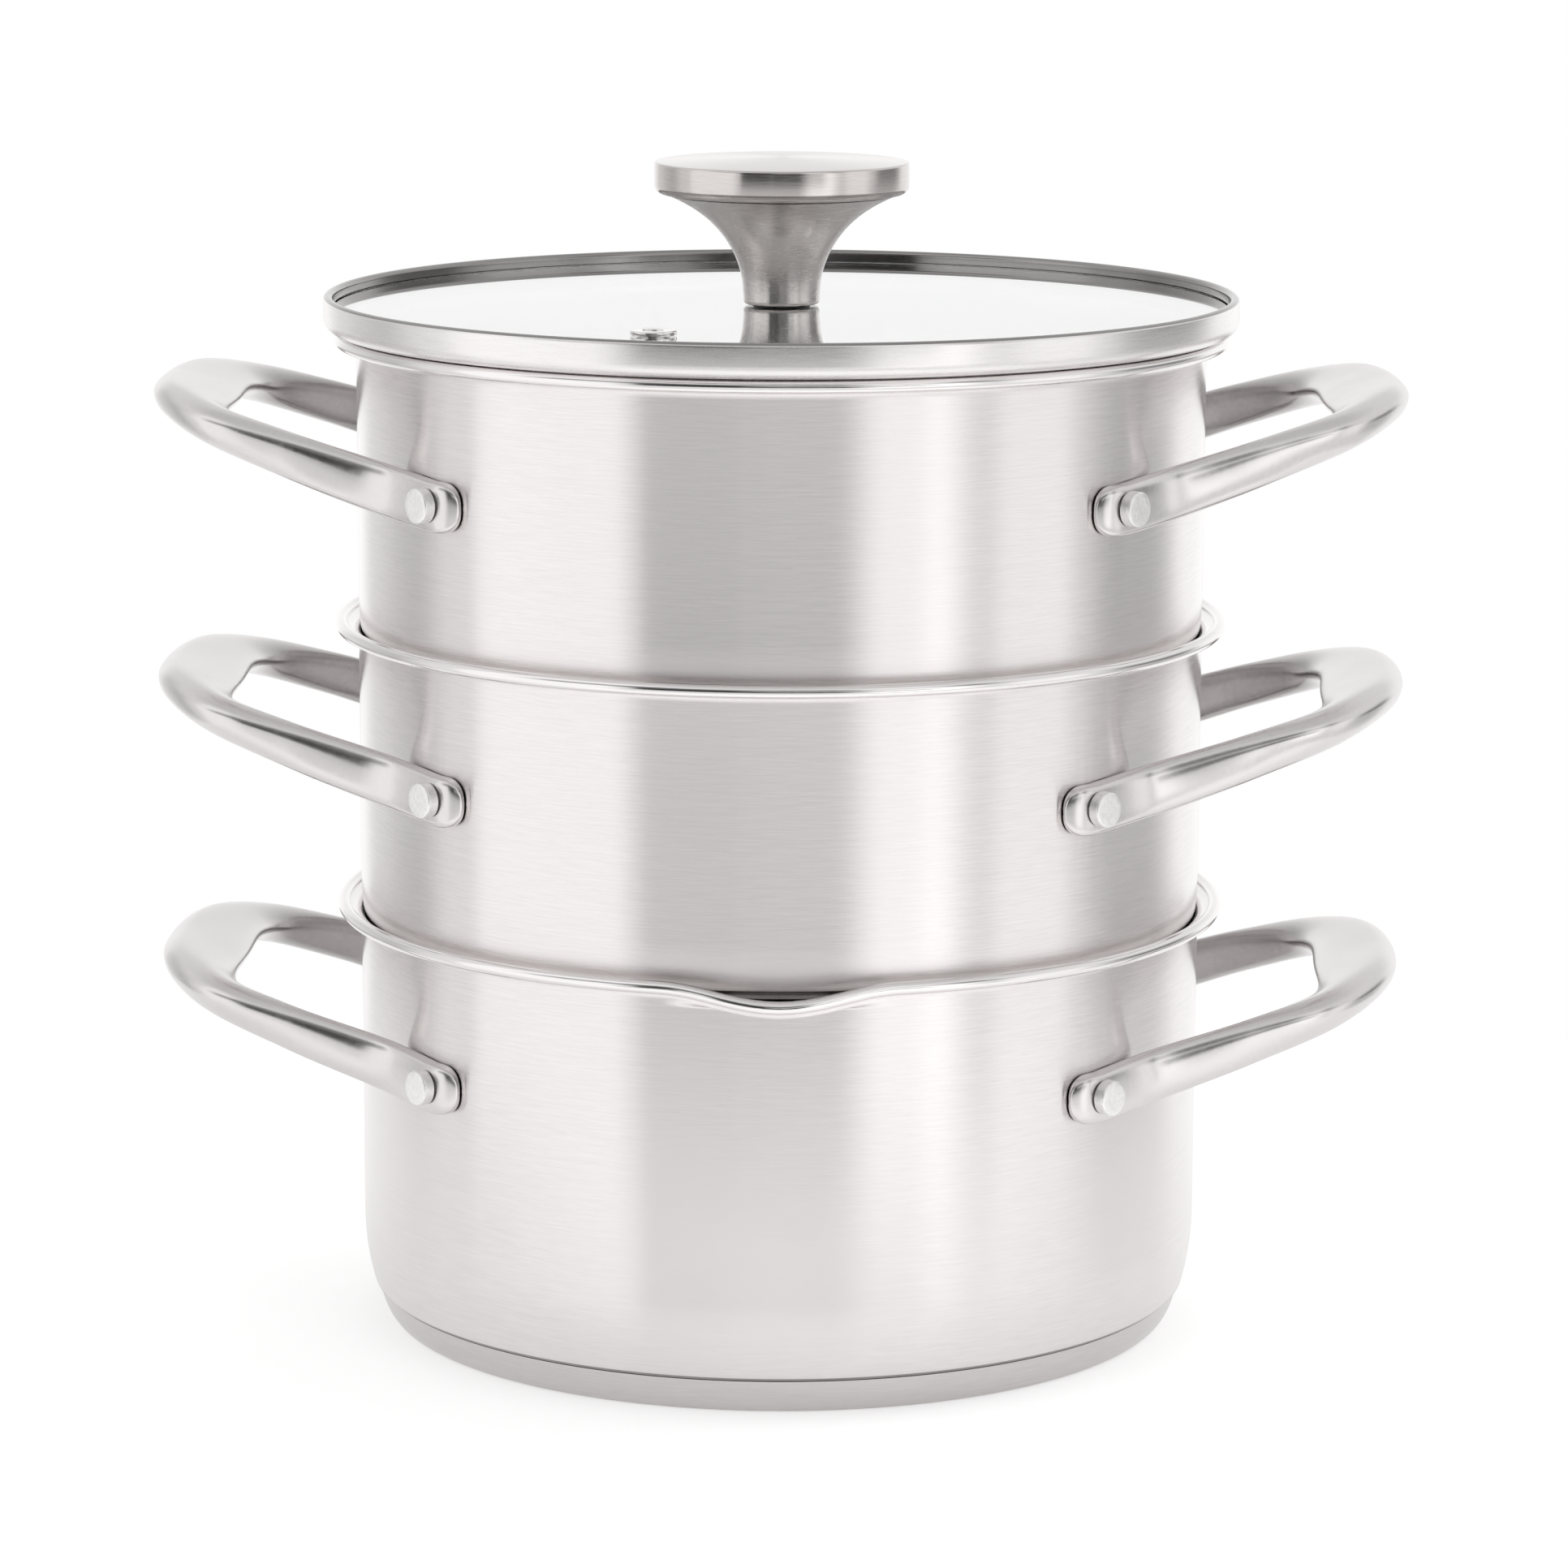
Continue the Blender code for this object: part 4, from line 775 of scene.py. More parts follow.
@made_once
def brushed_metal(name, base, roughness, brushing, lines=3200.0, around=14.0, contrast=0.12,
                  depth=0.045, marks=0.05):
    """Steel brushed around the axis: drawn out reflections, fine lines and faint marks."""
    material, tree, shader = start_material(name, base, 1.0, roughness)
    grain = place_group(tree, "turned grain", turned_grain_group, lines=lines, length=around,
                        contrast=contrast)
    handling = place_group(tree, "handling marks", handling_group, scale=28.0, strength=marks)
    shade = calculate(tree, "ADD", grain["Shade"],
                      calculate(tree, "MULTIPLY", handling["Marks"], 0.35))
    tree.links.new(tone(tree, base, shade), shader.inputs["Base Color"])
    rough = calculate(tree, "ADD", calculate(tree, "MULTIPLY_ADD", grain["Shade"], 0.5,
                                             roughness), handling["Marks"])
    tree.links.new(rough, shader.inputs["Roughness"])
    shader.inputs["Anisotropic"].default_value = brushing
    shader.inputs["Anisotropic Rotation"].default_value = 0.25
    spot = add_node(tree, "ShaderNodeTexCoord").outputs["Object"]
    around = add_node(tree, "ShaderNodeVectorMath", {0: (0.0, 0.0, 1.0), 1: spot},
                      operation="CROSS_PRODUCT")
    tree.links.new(around.outputs[0], shader.inputs["Tangent"])
    height = calculate(tree, "SUBTRACT", grain["Height"],
                       calculate(tree, "MULTIPLY", handling["Scratches"], 3.0))
    bump = add_node(tree, "ShaderNodeBump", {
        "Strength": depth, "Distance": 0.0001, "Height": height})
    tree.links.new(bump.outputs[0], shader.inputs["Normal"])
    return material


@made_once
def satin_metal(name, base, roughness, depth=0.06, inner_painted_shade=0.0):
    """Cast steel with a satin polish: fine grain and faint marks, with painted shade on the inner
    side of a handle's legs where asked.
    """
    material, tree, shader = start_material(name, base, 1.0, roughness)
    handling = place_group(tree, "handling marks", handling_group, scale=60.0, strength=0.12)
    spot = add_node(tree, "ShaderNodeTexCoord").outputs["Object"]
    grain = add_node(tree, "ShaderNodeTexNoise", {
        "Vector": spot, "Scale": SATIN_GRAIN, "Detail": 3.0, "Roughness": 0.6}).outputs["Fac"]
    shade = calculate(tree, "ADD", calculate(tree, "MULTIPLY_ADD", grain, 0.10, -0.05),
                      calculate(tree, "MULTIPLY", handling["Marks"], 0.3))
    # The inner mask marks where painted shade darkens a handle's legs
    if inner_painted_shade > 0.0:
        inner = tree.nodes.new("ShaderNodeAttribute")
        inner.attribute_name = "inner"
        shade = calculate(tree, "SUBTRACT", shade,
                          calculate(tree, "MULTIPLY", inner.outputs["Fac"], inner_painted_shade))
    tree.links.new(tone(tree, base, shade), shader.inputs["Base Color"])
    rough = calculate(tree, "ADD", calculate(tree, "MULTIPLY_ADD", grain, 0.10,
                                             roughness - 0.05), handling["Marks"])
    tree.links.new(rough, shader.inputs["Roughness"])
    bump = add_node(tree, "ShaderNodeBump", {
        "Strength": depth, "Distance": 0.0001, "Height": grain})
    tree.links.new(bump.outputs[0], shader.inputs["Normal"])
    return material


@made_once
def blasted_metal(name, base, roughness):
    """Rivet steel as the press leaves it: rough, dented and pale."""
    material, tree, shader = start_material(name, base, 1.0, roughness)
    spot = add_node(tree, "ShaderNodeTexCoord").outputs["Object"]
    dents = add_node(tree, "ShaderNodeTexNoise", {
        "Vector": spot, "Scale": 900.0, "Detail": 3.0, "Roughness": 0.7}).outputs["Fac"]
    tree.links.new(tone(tree, base, calculate(tree, "MULTIPLY_ADD", dents, 0.30, -0.15)),
                   shader.inputs["Base Color"])
    tree.links.new(calculate(tree, "MULTIPLY_ADD", dents, 0.3, roughness - 0.15),
                   shader.inputs["Roughness"])
    bump = add_node(tree, "ShaderNodeBump", {
        "Strength": 0.5, "Distance": 0.0002, "Height": dents})
    tree.links.new(bump.outputs[0], shader.inputs["Normal"])
    return material


@made_once
def clear_glass(name, base):
    """Clear glass with a trace of wiping on it."""
    material, tree, shader = start_material(name, base, 0.0, 0.0)
    shader.inputs["Transmission Weight"].default_value = 1.0
    shader.inputs["IOR"].default_value = GLASS_IOR
    shader.inputs["Coat Weight"].default_value = 1.0
    shader.inputs["Coat Roughness"].default_value = 0.0
    spot = add_node(tree, "ShaderNodeTexCoord").outputs["Object"]
    wiping = add_node(tree, "ShaderNodeTexNoise", {
        "Vector": spot, "Scale": 18.0, "Detail": 2.0}).outputs["Fac"]
    rough = add_node(tree, "ShaderNodeMapRange", {
        "Value": wiping, "From Min": 0.45, "From Max": 0.75, "To Max": 0.02}).outputs[0]
    tree.links.new(rough, shader.inputs["Roughness"])
    return material


@made_once
def soft_silicone(name, base):
    """Matt silicone with a faint moulded grain."""
    material, tree, shader = start_material(name, base, 0.0, 0.6)
    spot = add_node(tree, "ShaderNodeTexCoord").outputs["Object"]
    grain = add_node(tree, "ShaderNodeTexNoise", {
        "Vector": spot, "Scale": 1200.0, "Detail": 2.0}).outputs["Fac"]
    tree.links.new(tone(tree, base, calculate(tree, "MULTIPLY_ADD", grain, 0.4, -0.2)),
                   shader.inputs["Base Color"])
    tree.links.new(calculate(tree, "MULTIPLY_ADD", grain, 0.2, 0.5), shader.inputs["Roughness"])
    return material


# Each steel: how it is finished, whose colour and roughness it has, and the rest of its settings
STEELS = {
    "wall": (brushed_metal, "wall", "wall", {}),
    "bead": (brushed_metal, "bead", "bead", {"brushing": 0.3, "contrast": 0.05, "depth": 0.04}),
    "knob": (brushed_metal, "knob", "knob", {"brushing": 0.6, "lines": 4000.0, "around": 5.0,
                                             "contrast": 0.14, "depth": 0.03, "marks": 0.01}),
    "stem": (brushed_metal, "stem", "stem", {"brushing": 0.8, "lines": 4000.0, "around": 5.0,
                                             "contrast": 0.14, "depth": 0.03, "marks": 0.0}),
    "band": (brushed_metal, "bead", "band", {"brushing": 0.7, "depth": 0.03}),
    "base": (brushed_metal, "base", "wall", {"brushing": 0.8}),
    "inside": (satin_metal, "inside", "inside", {"depth": 0.04}),
    # The shaded nest steel is painted shade for the gaps between parts
    "nest": (satin_metal, "nest", "inside", {"depth": 0.04}),
    "vent": (satin_metal, "bead", "bead", {}),
    "fastening": (satin_metal, "bead", "rivet", {}),
    "rivet": (blasted_metal, "rivet", "rivet", {}),
}


def steel_named(context, name):
    """One of the steels, with its colour and roughness from the finishes."""
    finish = group(context, "finish")
    kind, tint, gloss, settings = STEELS[name]
    if kind is brushed_metal:
        settings = {"brushing": finish.brushing, **settings}
    return kind(name + "_finish", tuple(getattr(finish, tint + "_colour")),
                getattr(finish, gloss + "_roughness"), **settings)


# Profiles

def rim_profile(vessel, levels, rim):
    """The flare and the rolled bead, from the inner wall over the rim to the outer wall."""
    span = Vector((vessel.bead_radius, vessel.flare_radius))
    outer_flare = vessel.flare_radius - vessel.wall
    along = ((span.length_squared + outer_flare ** 2 - vessel.bead_radius ** 2)
             / (2.0 * span.length))
    lean = math.degrees(math.atan2(span.y, span.x))
    flare_angle = lean + math.degrees(math.acos(along / outer_flare))
    bead_angle = lean - 180.0 - math.degrees(math.acos((span.length - along)
                                                       / vessel.bead_radius))
    flare_z = rim - vessel.flare_radius
    points = arc(levels.flare, flare_z, vessel.flare_radius, 180.0, 90.0, 9)[:-1]
    points += arc(levels.bead, rim, vessel.bead_radius, 180.0, bead_angle, 28)
    points += arc(levels.flare, flare_z, outer_flare, flare_angle, 180.0, 9)[1:]
    return points


def pot_corner(vessel, levels, offset, low):
    """The pot's rounded lower corner, from the straight wall down to a height."""
    width = vessel.corner_width - offset
    height = vessel.corner_height - offset
    last = math.asin((vessel.corner_height - low) / height)
    return [(levels.body - vessel.corner_width + width * math.cos(a),
             vessel.corner_height - height * math.sin(a)) for a in np.linspace(0.0, last, 18)]


def steamer_side(vessel, levels, offset, rim):
    """One face of a steamer's lower wall, from the start of its taper down to its floor."""
    shoulder_top = rim - vessel.steamer_height
    taper = math.degrees(levels.taper_angle)
    taper_radius = vessel.taper_height / math.sin(levels.taper_angle)
    points = arc(levels.body - taper_radius, shoulder_top + vessel.taper_height,
                 taper_radius - offset, 0.0, -taper, 6)[:-1]
    shoulder_z = shoulder_top + levels.shoulder_drop
    sweep = vessel.shoulder_sweep
    points += arc(levels.shoulder, shoulder_z, vessel.shoulder_radius - offset, -taper,
                  -math.degrees(sweep), 9)
    reach = vessel.shoulder_radius + vessel.neck_bend
    bend_r = levels.shoulder + reach * math.cos(sweep)
    bend_z = shoulder_z - reach * math.sin(sweep)
    points += arc(bend_r, bend_z, vessel.neck_bend + offset, 180.0 - math.degrees(sweep), 180.0,
                  8)[1:]
    corner_r = bend_r - vessel.neck_bend - vessel.floor_corner
    floor = rim - levels.pitch - vessel.nest_depth
    points += arc(corner_r, floor + vessel.floor_corner, vessel.floor_corner - offset, 0.0,
                  -90.0, 10)
    return points


def base_side(vessel, levels, offset):
    """One face of the base cap's rounded side, from its top down to the foot."""
    sweep = vessel.base_sweep
    top = vessel.base_height - vessel.fit_gap
    width = vessel.base_lean / math.sin(sweep)
    height = top / (1.0 - math.cos(sweep))
    points = []
    for a in np.linspace(sweep, 0.0, 14):
        slope = math.atan2(height * math.sin(a), width * math.cos(a))
        points.append((levels.base_foot + width * math.sin(a) - offset * math.sin(slope),
                       height * (1.0 - math.cos(a)) + offset * math.cos(slope)))
    points[0] = (points[0][0], top)
    return points


def rivet_profile(rivet, vessel, levels):
    """From the stub's outer face down to the domed head inside, measured from the wall's face."""
    pad_face = levels.pad_face + vessel.fit_gap - levels.body
    stub_face = levels.pad_face + rivet.stub_height - levels.body
    head_seat = -vessel.wall - rivet.curve_room
    edge = rivet.stub_edge
    profile = [(0.0, stub_face), (rivet.stub_radius - 3.0 * edge, stub_face)]
    profile += arc(rivet.stub_radius - edge, stub_face - edge, edge, 90.0, 0.0, 5)
    profile += [(rivet.stub_radius, pad_face), (rivet.shank_radius, pad_face),
                (rivet.shank_radius, head_seat)]
    profile += [(rivet.head_radius * math.cos(a), head_seat - rivet.head_height * math.sin(a))
                for a in np.linspace(0.0, math.pi / 2.0, 9)]
    profile[-1] = (0.0, head_seat - rivet.head_height)
    return profile


# Handles

# Each station of a handle's half past the knee, from the leg to the middle of the grip: shares of
# the reach, the half span, the rise, the grip's width and the pad's height, and its section
GRIP_STATIONS = (
    (0.306, 1.000, 0.497, 0.270, 0.903, (-0.10, 0.34, 0.20, 1.9, 2.0, 2.6, 2.2)),
    (0.730, 0.840, 0.800, 0.560, 0.815, (0.22, 0.34, -0.04, 1.8, 1.7, 2.6, 2.2)),
    (0.940, 0.540, 0.983, 0.760, 0.775, (0.46, 0.28, -0.28, 1.8, 1.5, 2.8, 2.2)),
    (0.985, 0.000, 1.000, 0.960, 0.785, (0.52, 0.26, -0.38, 1.8, 1.45, 2.8, 2.2)),
)
# A section: where its crease lies across it, how high its outer and inner sides are fullest, and
# how square its four quarters are, from the outer upper one round over the inner side
PAD_SECTION = (0.0, 0.0, 0.0, 5.0, 5.0, 5.0, 5.0)
KNEE_SECTION = (-0.05, 0.12, 0.10, 2.8, 3.0, 3.2, 3.0)
PAD_END_STATIONS = (0.997, 0.985, 0.965, 0.94, 0.91, 0.87, 0.82, 0.76, 0.69, 0.61, 0.52, 0.42,
                    0.30, 0.15, 0.0)
PAD_STATIONS = (0.8, 0.6, 0.4, 0.2, 0.0)
PAD_END_START = 0.27
PAD_OUTLINE_SQUARENESS = 2.5
PAD_END_THINNING = 0.62
LEG_START, LEG_BLEND = 0.62, 0.25
# Where the painted shade starts on a leg's inner side, and how fast it grows
INNER_SHADE_START, INNER_SHADE_GAIN = 0.25, 1.6
EASE_GAIN, EASE_ROUNDS = 2.0, 24
CREASE_STEP, OUTLINE_ROUNDS = 0.001, 40
KNEE_SHARES = (0.076, 0.252, 1.027)


def handle_stations(handle, levels):
    """Half of a handle, from its foot's end to its grip's middle.

    Each row has x, y, z, width, height, the section's seven numbers, and how far along the
    foot's rounded end it is.
    """
    stations = []
    length = handle.pad_end + handle.pad_corner

    def foot(reach, rounded):
        turn = handle.rivet_spread + reach * length / levels.pad_face
        thinned = handle.pad_thickness * PAD_END_THINNING * rounded ** 2
        thickness = handle.pad_thickness + handle.pad_sink - thinned
        radius = levels.pad_face - thinned - thickness / 2.0
        stations.append((radius * math.cos(turn), radius * math.sin(turn), -handle.pad_drop,
                         thickness, handle.pad_height, *PAD_SECTION, rounded))

    for part in PAD_END_STATIONS:
        foot(PAD_END_START + (1.0 - PAD_END_START) * part, part)
    for part in PAD_STATIONS:
        foot(PAD_END_START * part, 0.0)
    knee = handle.rivet_spread - handle.knee_angle
    radius = levels.pad_back + handle.pad_thickness / 2.0
    rise, width, height = KNEE_SHARES
    stations.append((radius * math.cos(knee) + handle.knee_lift, radius * math.sin(knee),
                     handle.rise * rise, handle.web_width * width, handle.pad_height * height,
                     *KNEE_SECTION, 0.0))
    for reach, span, rise, width, height, section in GRIP_STATIONS:
        stations.append((levels.body + handle.reach * reach, handle.half_span * span,
                         handle.rise * rise, handle.web_width * width,
                         handle.pad_height * height, *section, 0.0))
    return np.array(stations)


def between(before, start, end, after, part):
    """A station between two others, on the smooth curve through all four."""
    times = [0.0]
    for first, second in ((before, start), (start, end), (end, after)):
        times.append(times[-1] + math.sqrt(np.linalg.norm((second - first)[:3])))
    t0, t1, t2, t3 = times
    t = t1 + (t2 - t1) * part
    a1 = before * (t1 - t) / (t1 - t0) + start * (t - t0) / (t1 - t0)
    a2 = start * (t2 - t) / (t2 - t1) + end * (t - t1) / (t2 - t1)
    a3 = end * (t3 - t) / (t3 - t2) + after * (t - t2) / (t3 - t2)
    b1 = a1 * (t2 - t) / (t2 - t0) + a2 * (t - t0) / (t2 - t0)
    b2 = a2 * (t3 - t) / (t3 - t1) + a3 * (t - t1) / (t3 - t1)
    return b1 * (t2 - t) / (t2 - t1) + b2 * (t - t1) / (t2 - t1)


def handle_path(handle, levels):
    """Stations along a whole handle, from one foot's end round to the other's."""
    stations = handle_stations(handle, levels)
    mirror = np.ones(stations.shape[1])
    mirror[1] = -1.0
    rivet_index = len(PAD_END_STATIONS) + len(PAD_STATIONS) - 1
    path = list(stations[:rivet_index])
    for index in range(rivet_index, len(stations) - 1):
        last = index + 2 == len(stations)
        after = stations[index] * mirror if last else stations[index + 2]
        for step in range(handle.rings):
            path.append(between(stations[index - 1], stations[index], stations[index + 1],
                                after, step / handle.rings))
    path.append(stations[-1])
    return np.array(path + [station * mirror for station in path[-2::-1]])


def section_point(section, rounded, around):
    """A section's point outwards and upwards, as shares of its half width and half height."""
    crease, outer, inner, *squares = section
    cosine, sine = math.cos(around), math.sin(around)
    square = squares[int(around / (math.pi / 2.0)) % 4]
    if rounded > 0.0:
        low, high = 0.0, 1.0 / max(abs(cosine), abs(sine))
        for step in range(OUTLINE_ROUNDS):
            size = (low + high) / 2.0
            inside = 1.0 - min(abs(cosine) * size, 1.0) ** square
            room = inside ** (PAD_OUTLINE_SQUARENESS / square) - rounded ** PAD_OUTLINE_SQUARENESS
            if room > (abs(sine) * size) ** PAD_OUTLINE_SQUARENESS:
                low = size
            else:
                high = size
        return cosine * low, sine * low
    size = (abs(cosine) ** square + abs(sine) ** square) ** (-1.0 / square)
    middle = crease if sine > 0.0 else 0.0
    fullest = outer if cosine > 0.0 else inner
    across = 1.0 - middle if cosine > 0.0 else 1.0 + middle
    above = 1.0 - fullest if sine > 0.0 else 1.0 + fullest
    return middle + cosine * size * across, fullest + sine * size * above


def limited(value):
    """The value, held between 0 and 1."""
    return min(max(value, 0.0), 1.0)


def ease_lines(points, ease):
    """Ease the lines along a loft where its sections crowd together."""
    for step in range(EASE_ROUNDS):
        eased = (points[:-2] + 2.0 * points[1:-1] + points[2:]) / 4.0
        points[1:-1] += (eased - points[1:-1]) * ease[1:-1, :, None]
    return points


def handle_mesh(name, handle, levels, turn, height, material):
    """Loft of the handle's sections, each square to the handle's path."""
    path = handle_path(handle, levels)
    directions = np.gradient(path[:, :3], axis=0)
    where = Matrix.Rotation(turn, 4, "Z") @ Matrix.Translation((0.0, 0.0, height))
    points, inner, ease = [], [], []
    for station, direction in zip(path, directions):
        leg = limited((abs(station[1]) / handle.half_span - LEG_START) / LEG_BLEND)
        direction = Vector(direction).normalized()
        outward = Vector((-direction.y, direction.x, 0.0)).normalized()
        up = outward.cross(direction)
        up *= math.copysign(1.0, up.z)
        for side in range(handle.sides):
            out, high = section_point(station[5:12], station[12],
                                      2.0 * math.pi * (side + CREASE_STEP) / handle.sides)
            point = (Vector(station[:3]) + outward * (out * station[3] / 2.0)
                     + up * (high * station[4] / 2.0))
            # The inner share marks a leg's side towards the wall, which gets painted shade
            inner.append(leg * limited(-INNER_SHADE_START - INNER_SHADE_GAIN * out))
            ease.append((1.0 - leg) * limited(-EASE_GAIN * out))
            if point.xy.length < levels.pad_back:
                point.xy = point.xy.normalized() * levels.pad_back
            points.append(where @ point)
    rings = (len(path), handle.sides)
    points = ease_lines(np.array(points).reshape(*rings, 3), np.array(ease).reshape(rings))
    points = points.reshape(-1, 3).tolist()
    faces = []
    for ring in range(len(path) - 1):
        for side in range(handle.sides):
            here = ring * handle.sides + side
            there = ring * handle.sides + (side + 1) % handle.sides
            faces.append((here, there, there + handle.sides, here + handle.sides))
    faces.append(tuple(range(handle.sides)))
    faces.append(tuple(range(len(points) - 1, len(points) - handle.sides - 1, -1)))
    mesh = bpy.data.meshes.new(name)
    mesh.from_pydata(points, [], faces)
    # The painted shade mask for the handle's finish
    mesh.attributes.new("inner", "FLOAT", "POINT").data.foreach_set("value", inner)
    mesh.materials.append(material)
    return close_and_smooth(mesh)


def rivet_turns(handle, tier):
    """The turn of each of a vessel's rivets about the axis."""
    left = getattr(handle, tier + "_left") + math.pi
    right = getattr(handle, tier + "_right")
    return [axis + sign * handle.rivet_spread for axis in (left, right) for sign in (-1.0, 1.0)]


def rivet_holes(context, tier):
    """Rods where the rivets of a vessel go through its wall and its handles' feet."""
    levels, handle, rivet = Levels(context), group(context, "handle"), group(context, "rivet")
    height = levels.rims[tier] - handle.rivet_drop
    middle = levels.pad_back + handle.pad_thickness / 2.0
    gap = group(context, "vessel").fit_gap
    return rods(rivet.shank_radius + gap, 3.0 * handle.pad_thickness, rivet.steps,
                [spoke(turn, middle, height) for turn in rivet_turns(handle, tier)])


# Operators

class STEAMER_OT_pot(bpy.types.Operator):
    """Make the pot's shell with its pouring lip, and its base"""
    bl_idname = "steamer.pot"
    bl_label = "Pot"

    def execute(self, context):
        vessel, spout = group(context, "vessel"), group(context, "spout")
        levels = Levels(context)
        steel, bead = steel_named(context, "wall"), steel_named(context, "bead")
        rim = levels.rims["pot"]
        floor = vessel.base_height + vessel.wall
        heel = vessel.base_height + vessel.heel_edge
        outer = pot_corner(vessel, levels, 0.0, heel)
        inner = pot_corner(vessel, levels, vessel.wall, floor + vessel.wall)
        lip = np.linspace(rim - spout.depth - 0.001, rim - vessel.flare_radius, 14)[:-1]
        profile = [(0.0, floor), (inner[-1][0] - vessel.wall, floor)] + inner[::-1]
        profile += [(vessel.inner_radius, height) for height in lip]
        profile += rim_profile(vessel, levels, rim)
        profile += [(levels.body, height) for height in lip[::-1]] + outer
        profile += [(outer[-1][0] - vessel.heel_edge, vessel.base_height),
                    (0.0, vessel.base_height)]
        mesh = turned("pot_vessel", profile, vessel.steps, steel)
        polish_rim(mesh, levels, rim, bead)
        low = rim - spout.depth
        mesh = grow("pot_vessel", mesh, tree_named("pouring lip", spout_tree), {
            "Half Angle": spout.half_angle, "Reach": spout.reach, "Dip": spout.dip,
            "Low Height": low, "Full Height": low + spout.depth - vessel.flare_radius,
            "Rim Material": bead, "Material": steel})
        mesh = cut_away("pot_vessel", mesh, [rivet_holes(context, "pot")])
        finish_inside(context, mesh, vessel.inner_radius + vessel.wall / 4.0, False)
        # The pot's underside, hidden in the base, gets the dark steel that paints shade
        paint(mesh, steel_named(context, "nest"), lambda face: face.center.z < heel)
        add_piece("pot_vessel", mesh, "pot", ["pot_shell"])

        inside = base_side(vessel, levels, vessel.base_wall)
        cap = [(0.0, vessel.base_wall)] + inside[::-1] + base_side(vessel, levels, 0.0)
        mesh = turned("pot_base_cap", cap + [(0.0, 0.0)], vessel.steps,
                      steel_named(context, "base"))
        add_piece("pot_base_cap", mesh, "pot", ["base_cap"])
        return {"FINISHED"}


def finish_inside(context, mesh, limit, nest):
    """Give a vessel's inside its satin finish, and its nest wall, where it has one, a dark steel
    that paints the shade of the gap it sits in.
    """
    paint(mesh, steel_named(context, "inside"),
          lambda face: face.center.xy.length < limit and faces_inward(face))
    if nest:
        paint(mesh, steel_named(context, "nest"),
              lambda face: face.center.xy.length < limit and not faces_inward(face))


def polish_rim(mesh, levels, rim, material):
    """Give the rolled bead and the flare under it their polished finish."""
    paint(mesh, material, lambda face: face.center.z > rim - POLISHED_HEIGHT
          and face.center.xy.length > levels.body + POLISHED_START)


class STEAMER_OT_steamers(bpy.types.Operator):
    """Make the two steamers with their pierced floors"""
    bl_idname = "steamer.steamers"
    bl_label = "Steamers"

    def execute(self, context):
        vessel, pierced = group(context, "vessel"), group(context, "steam_holes")
        levels = Levels(context)
        steel, bead = steel_named(context, "wall"), steel_named(context, "bead")
        for tier in TIERS[1:]:
            rim = levels.rims[tier]
            outer = steamer_side(vessel, levels, 0.0, rim)
            inner = steamer_side(vessel, levels, vessel.wall, rim)
            profile = [(0.0, inner[-1][1])] + inner[::-1] + rim_profile(vessel, levels, rim)
            profile += outer + [(0.0, outer[-1][1])]
            name = tier + "_vessel"
            mesh = turned(name, profile, vessel.steps, steel)
            polish_rim(mesh, levels, rim, bead)
            edit(mesh, flatten_discs(outer[-1][0]))
            mesh = grow(name, mesh, tree_named("steam holes", steam_holes_tree), {
                "Radius": pierced.radius, "Pitch": pierced.pitch, "Rings": pierced.rings,
                "Sides": pierced.sides, "Height": (inner[-1][1] + outer[-1][1]) / 2.0,
                "Depth": 5.0 * vessel.wall, "Rim Material": bead, "Material": steel})
            mesh = cut_away(name, mesh, [rivet_holes(context, tier)])
            finish_inside(context, mesh, vessel.inner_radius + vessel.wall / 4.0, True)
            add_piece(name, mesh, BODIES[tier], [tier + "_shell"])
        return {"FINISHED"}


class STEAMER_OT_handles(bpy.types.Operator):
    """Make the six cast handles"""
    bl_idname = "steamer.handles"
    bl_label = "Handles"

    def execute(self, context):
        handle, finish = group(context, "handle"), group(context, "finish")
        levels = Levels(context)
        steel = satin_metal("handle_finish", tuple(finish.handle_colour), finish.handle_roughness,
                            inner_painted_shade=finish.inner_painted_shade)
        for tier in TIERS:
            height = levels.rims[tier] - handle.rivet_drop
            for side in SIDES:
                turn = getattr(handle, tier + "_" + side) + (math.pi if side == "left" else 0.0)
                name = tier + "_" + side + "_handle"
                mesh = handle_mesh(name, handle, levels, turn, height, steel)
                mesh = cut_away(name, mesh, [rivet_holes(context, tier)])
                add_piece(name, mesh, BODIES[tier],
                          [tier + "_handle_" + side])
        return {"FINISHED"}


class STEAMER_OT_rivets(bpy.types.Operator):
    """Make the twelve rivets, four to a vessel"""
    bl_idname = "steamer.rivets"
    bl_label = "Rivets"

    def execute(self, context):
        vessel, handle, rivet = (group(context, name) for name in ("vessel", "handle", "rivet"))
        levels = Levels(context)
        steel = steel_named(context, "rivet")
        for tier in TIERS:
            one = turned("rivet", rivet_profile(rivet, vessel, levels), rivet.steps, steel)
            mesh = grow(tier + "_rivets", one, tree_named("rivets", rivets_tree), {
                "Radius": levels.body, "Height": levels.rims[tier] - handle.rivet_drop,
                "Half Spread": handle.rivet_spread, "Left Turn": getattr(handle, tier + "_left"),
                "Right Turn": getattr(handle, tier + "_right"), "Material": steel})
            add_piece(tier + "_rivets", close_and_smooth(mesh), BODIES[tier],
                      ["_".join((tier, "rivet", side, end))
                       for side in SIDES for end in ("front", "back")])
        return {"FINISHED"}


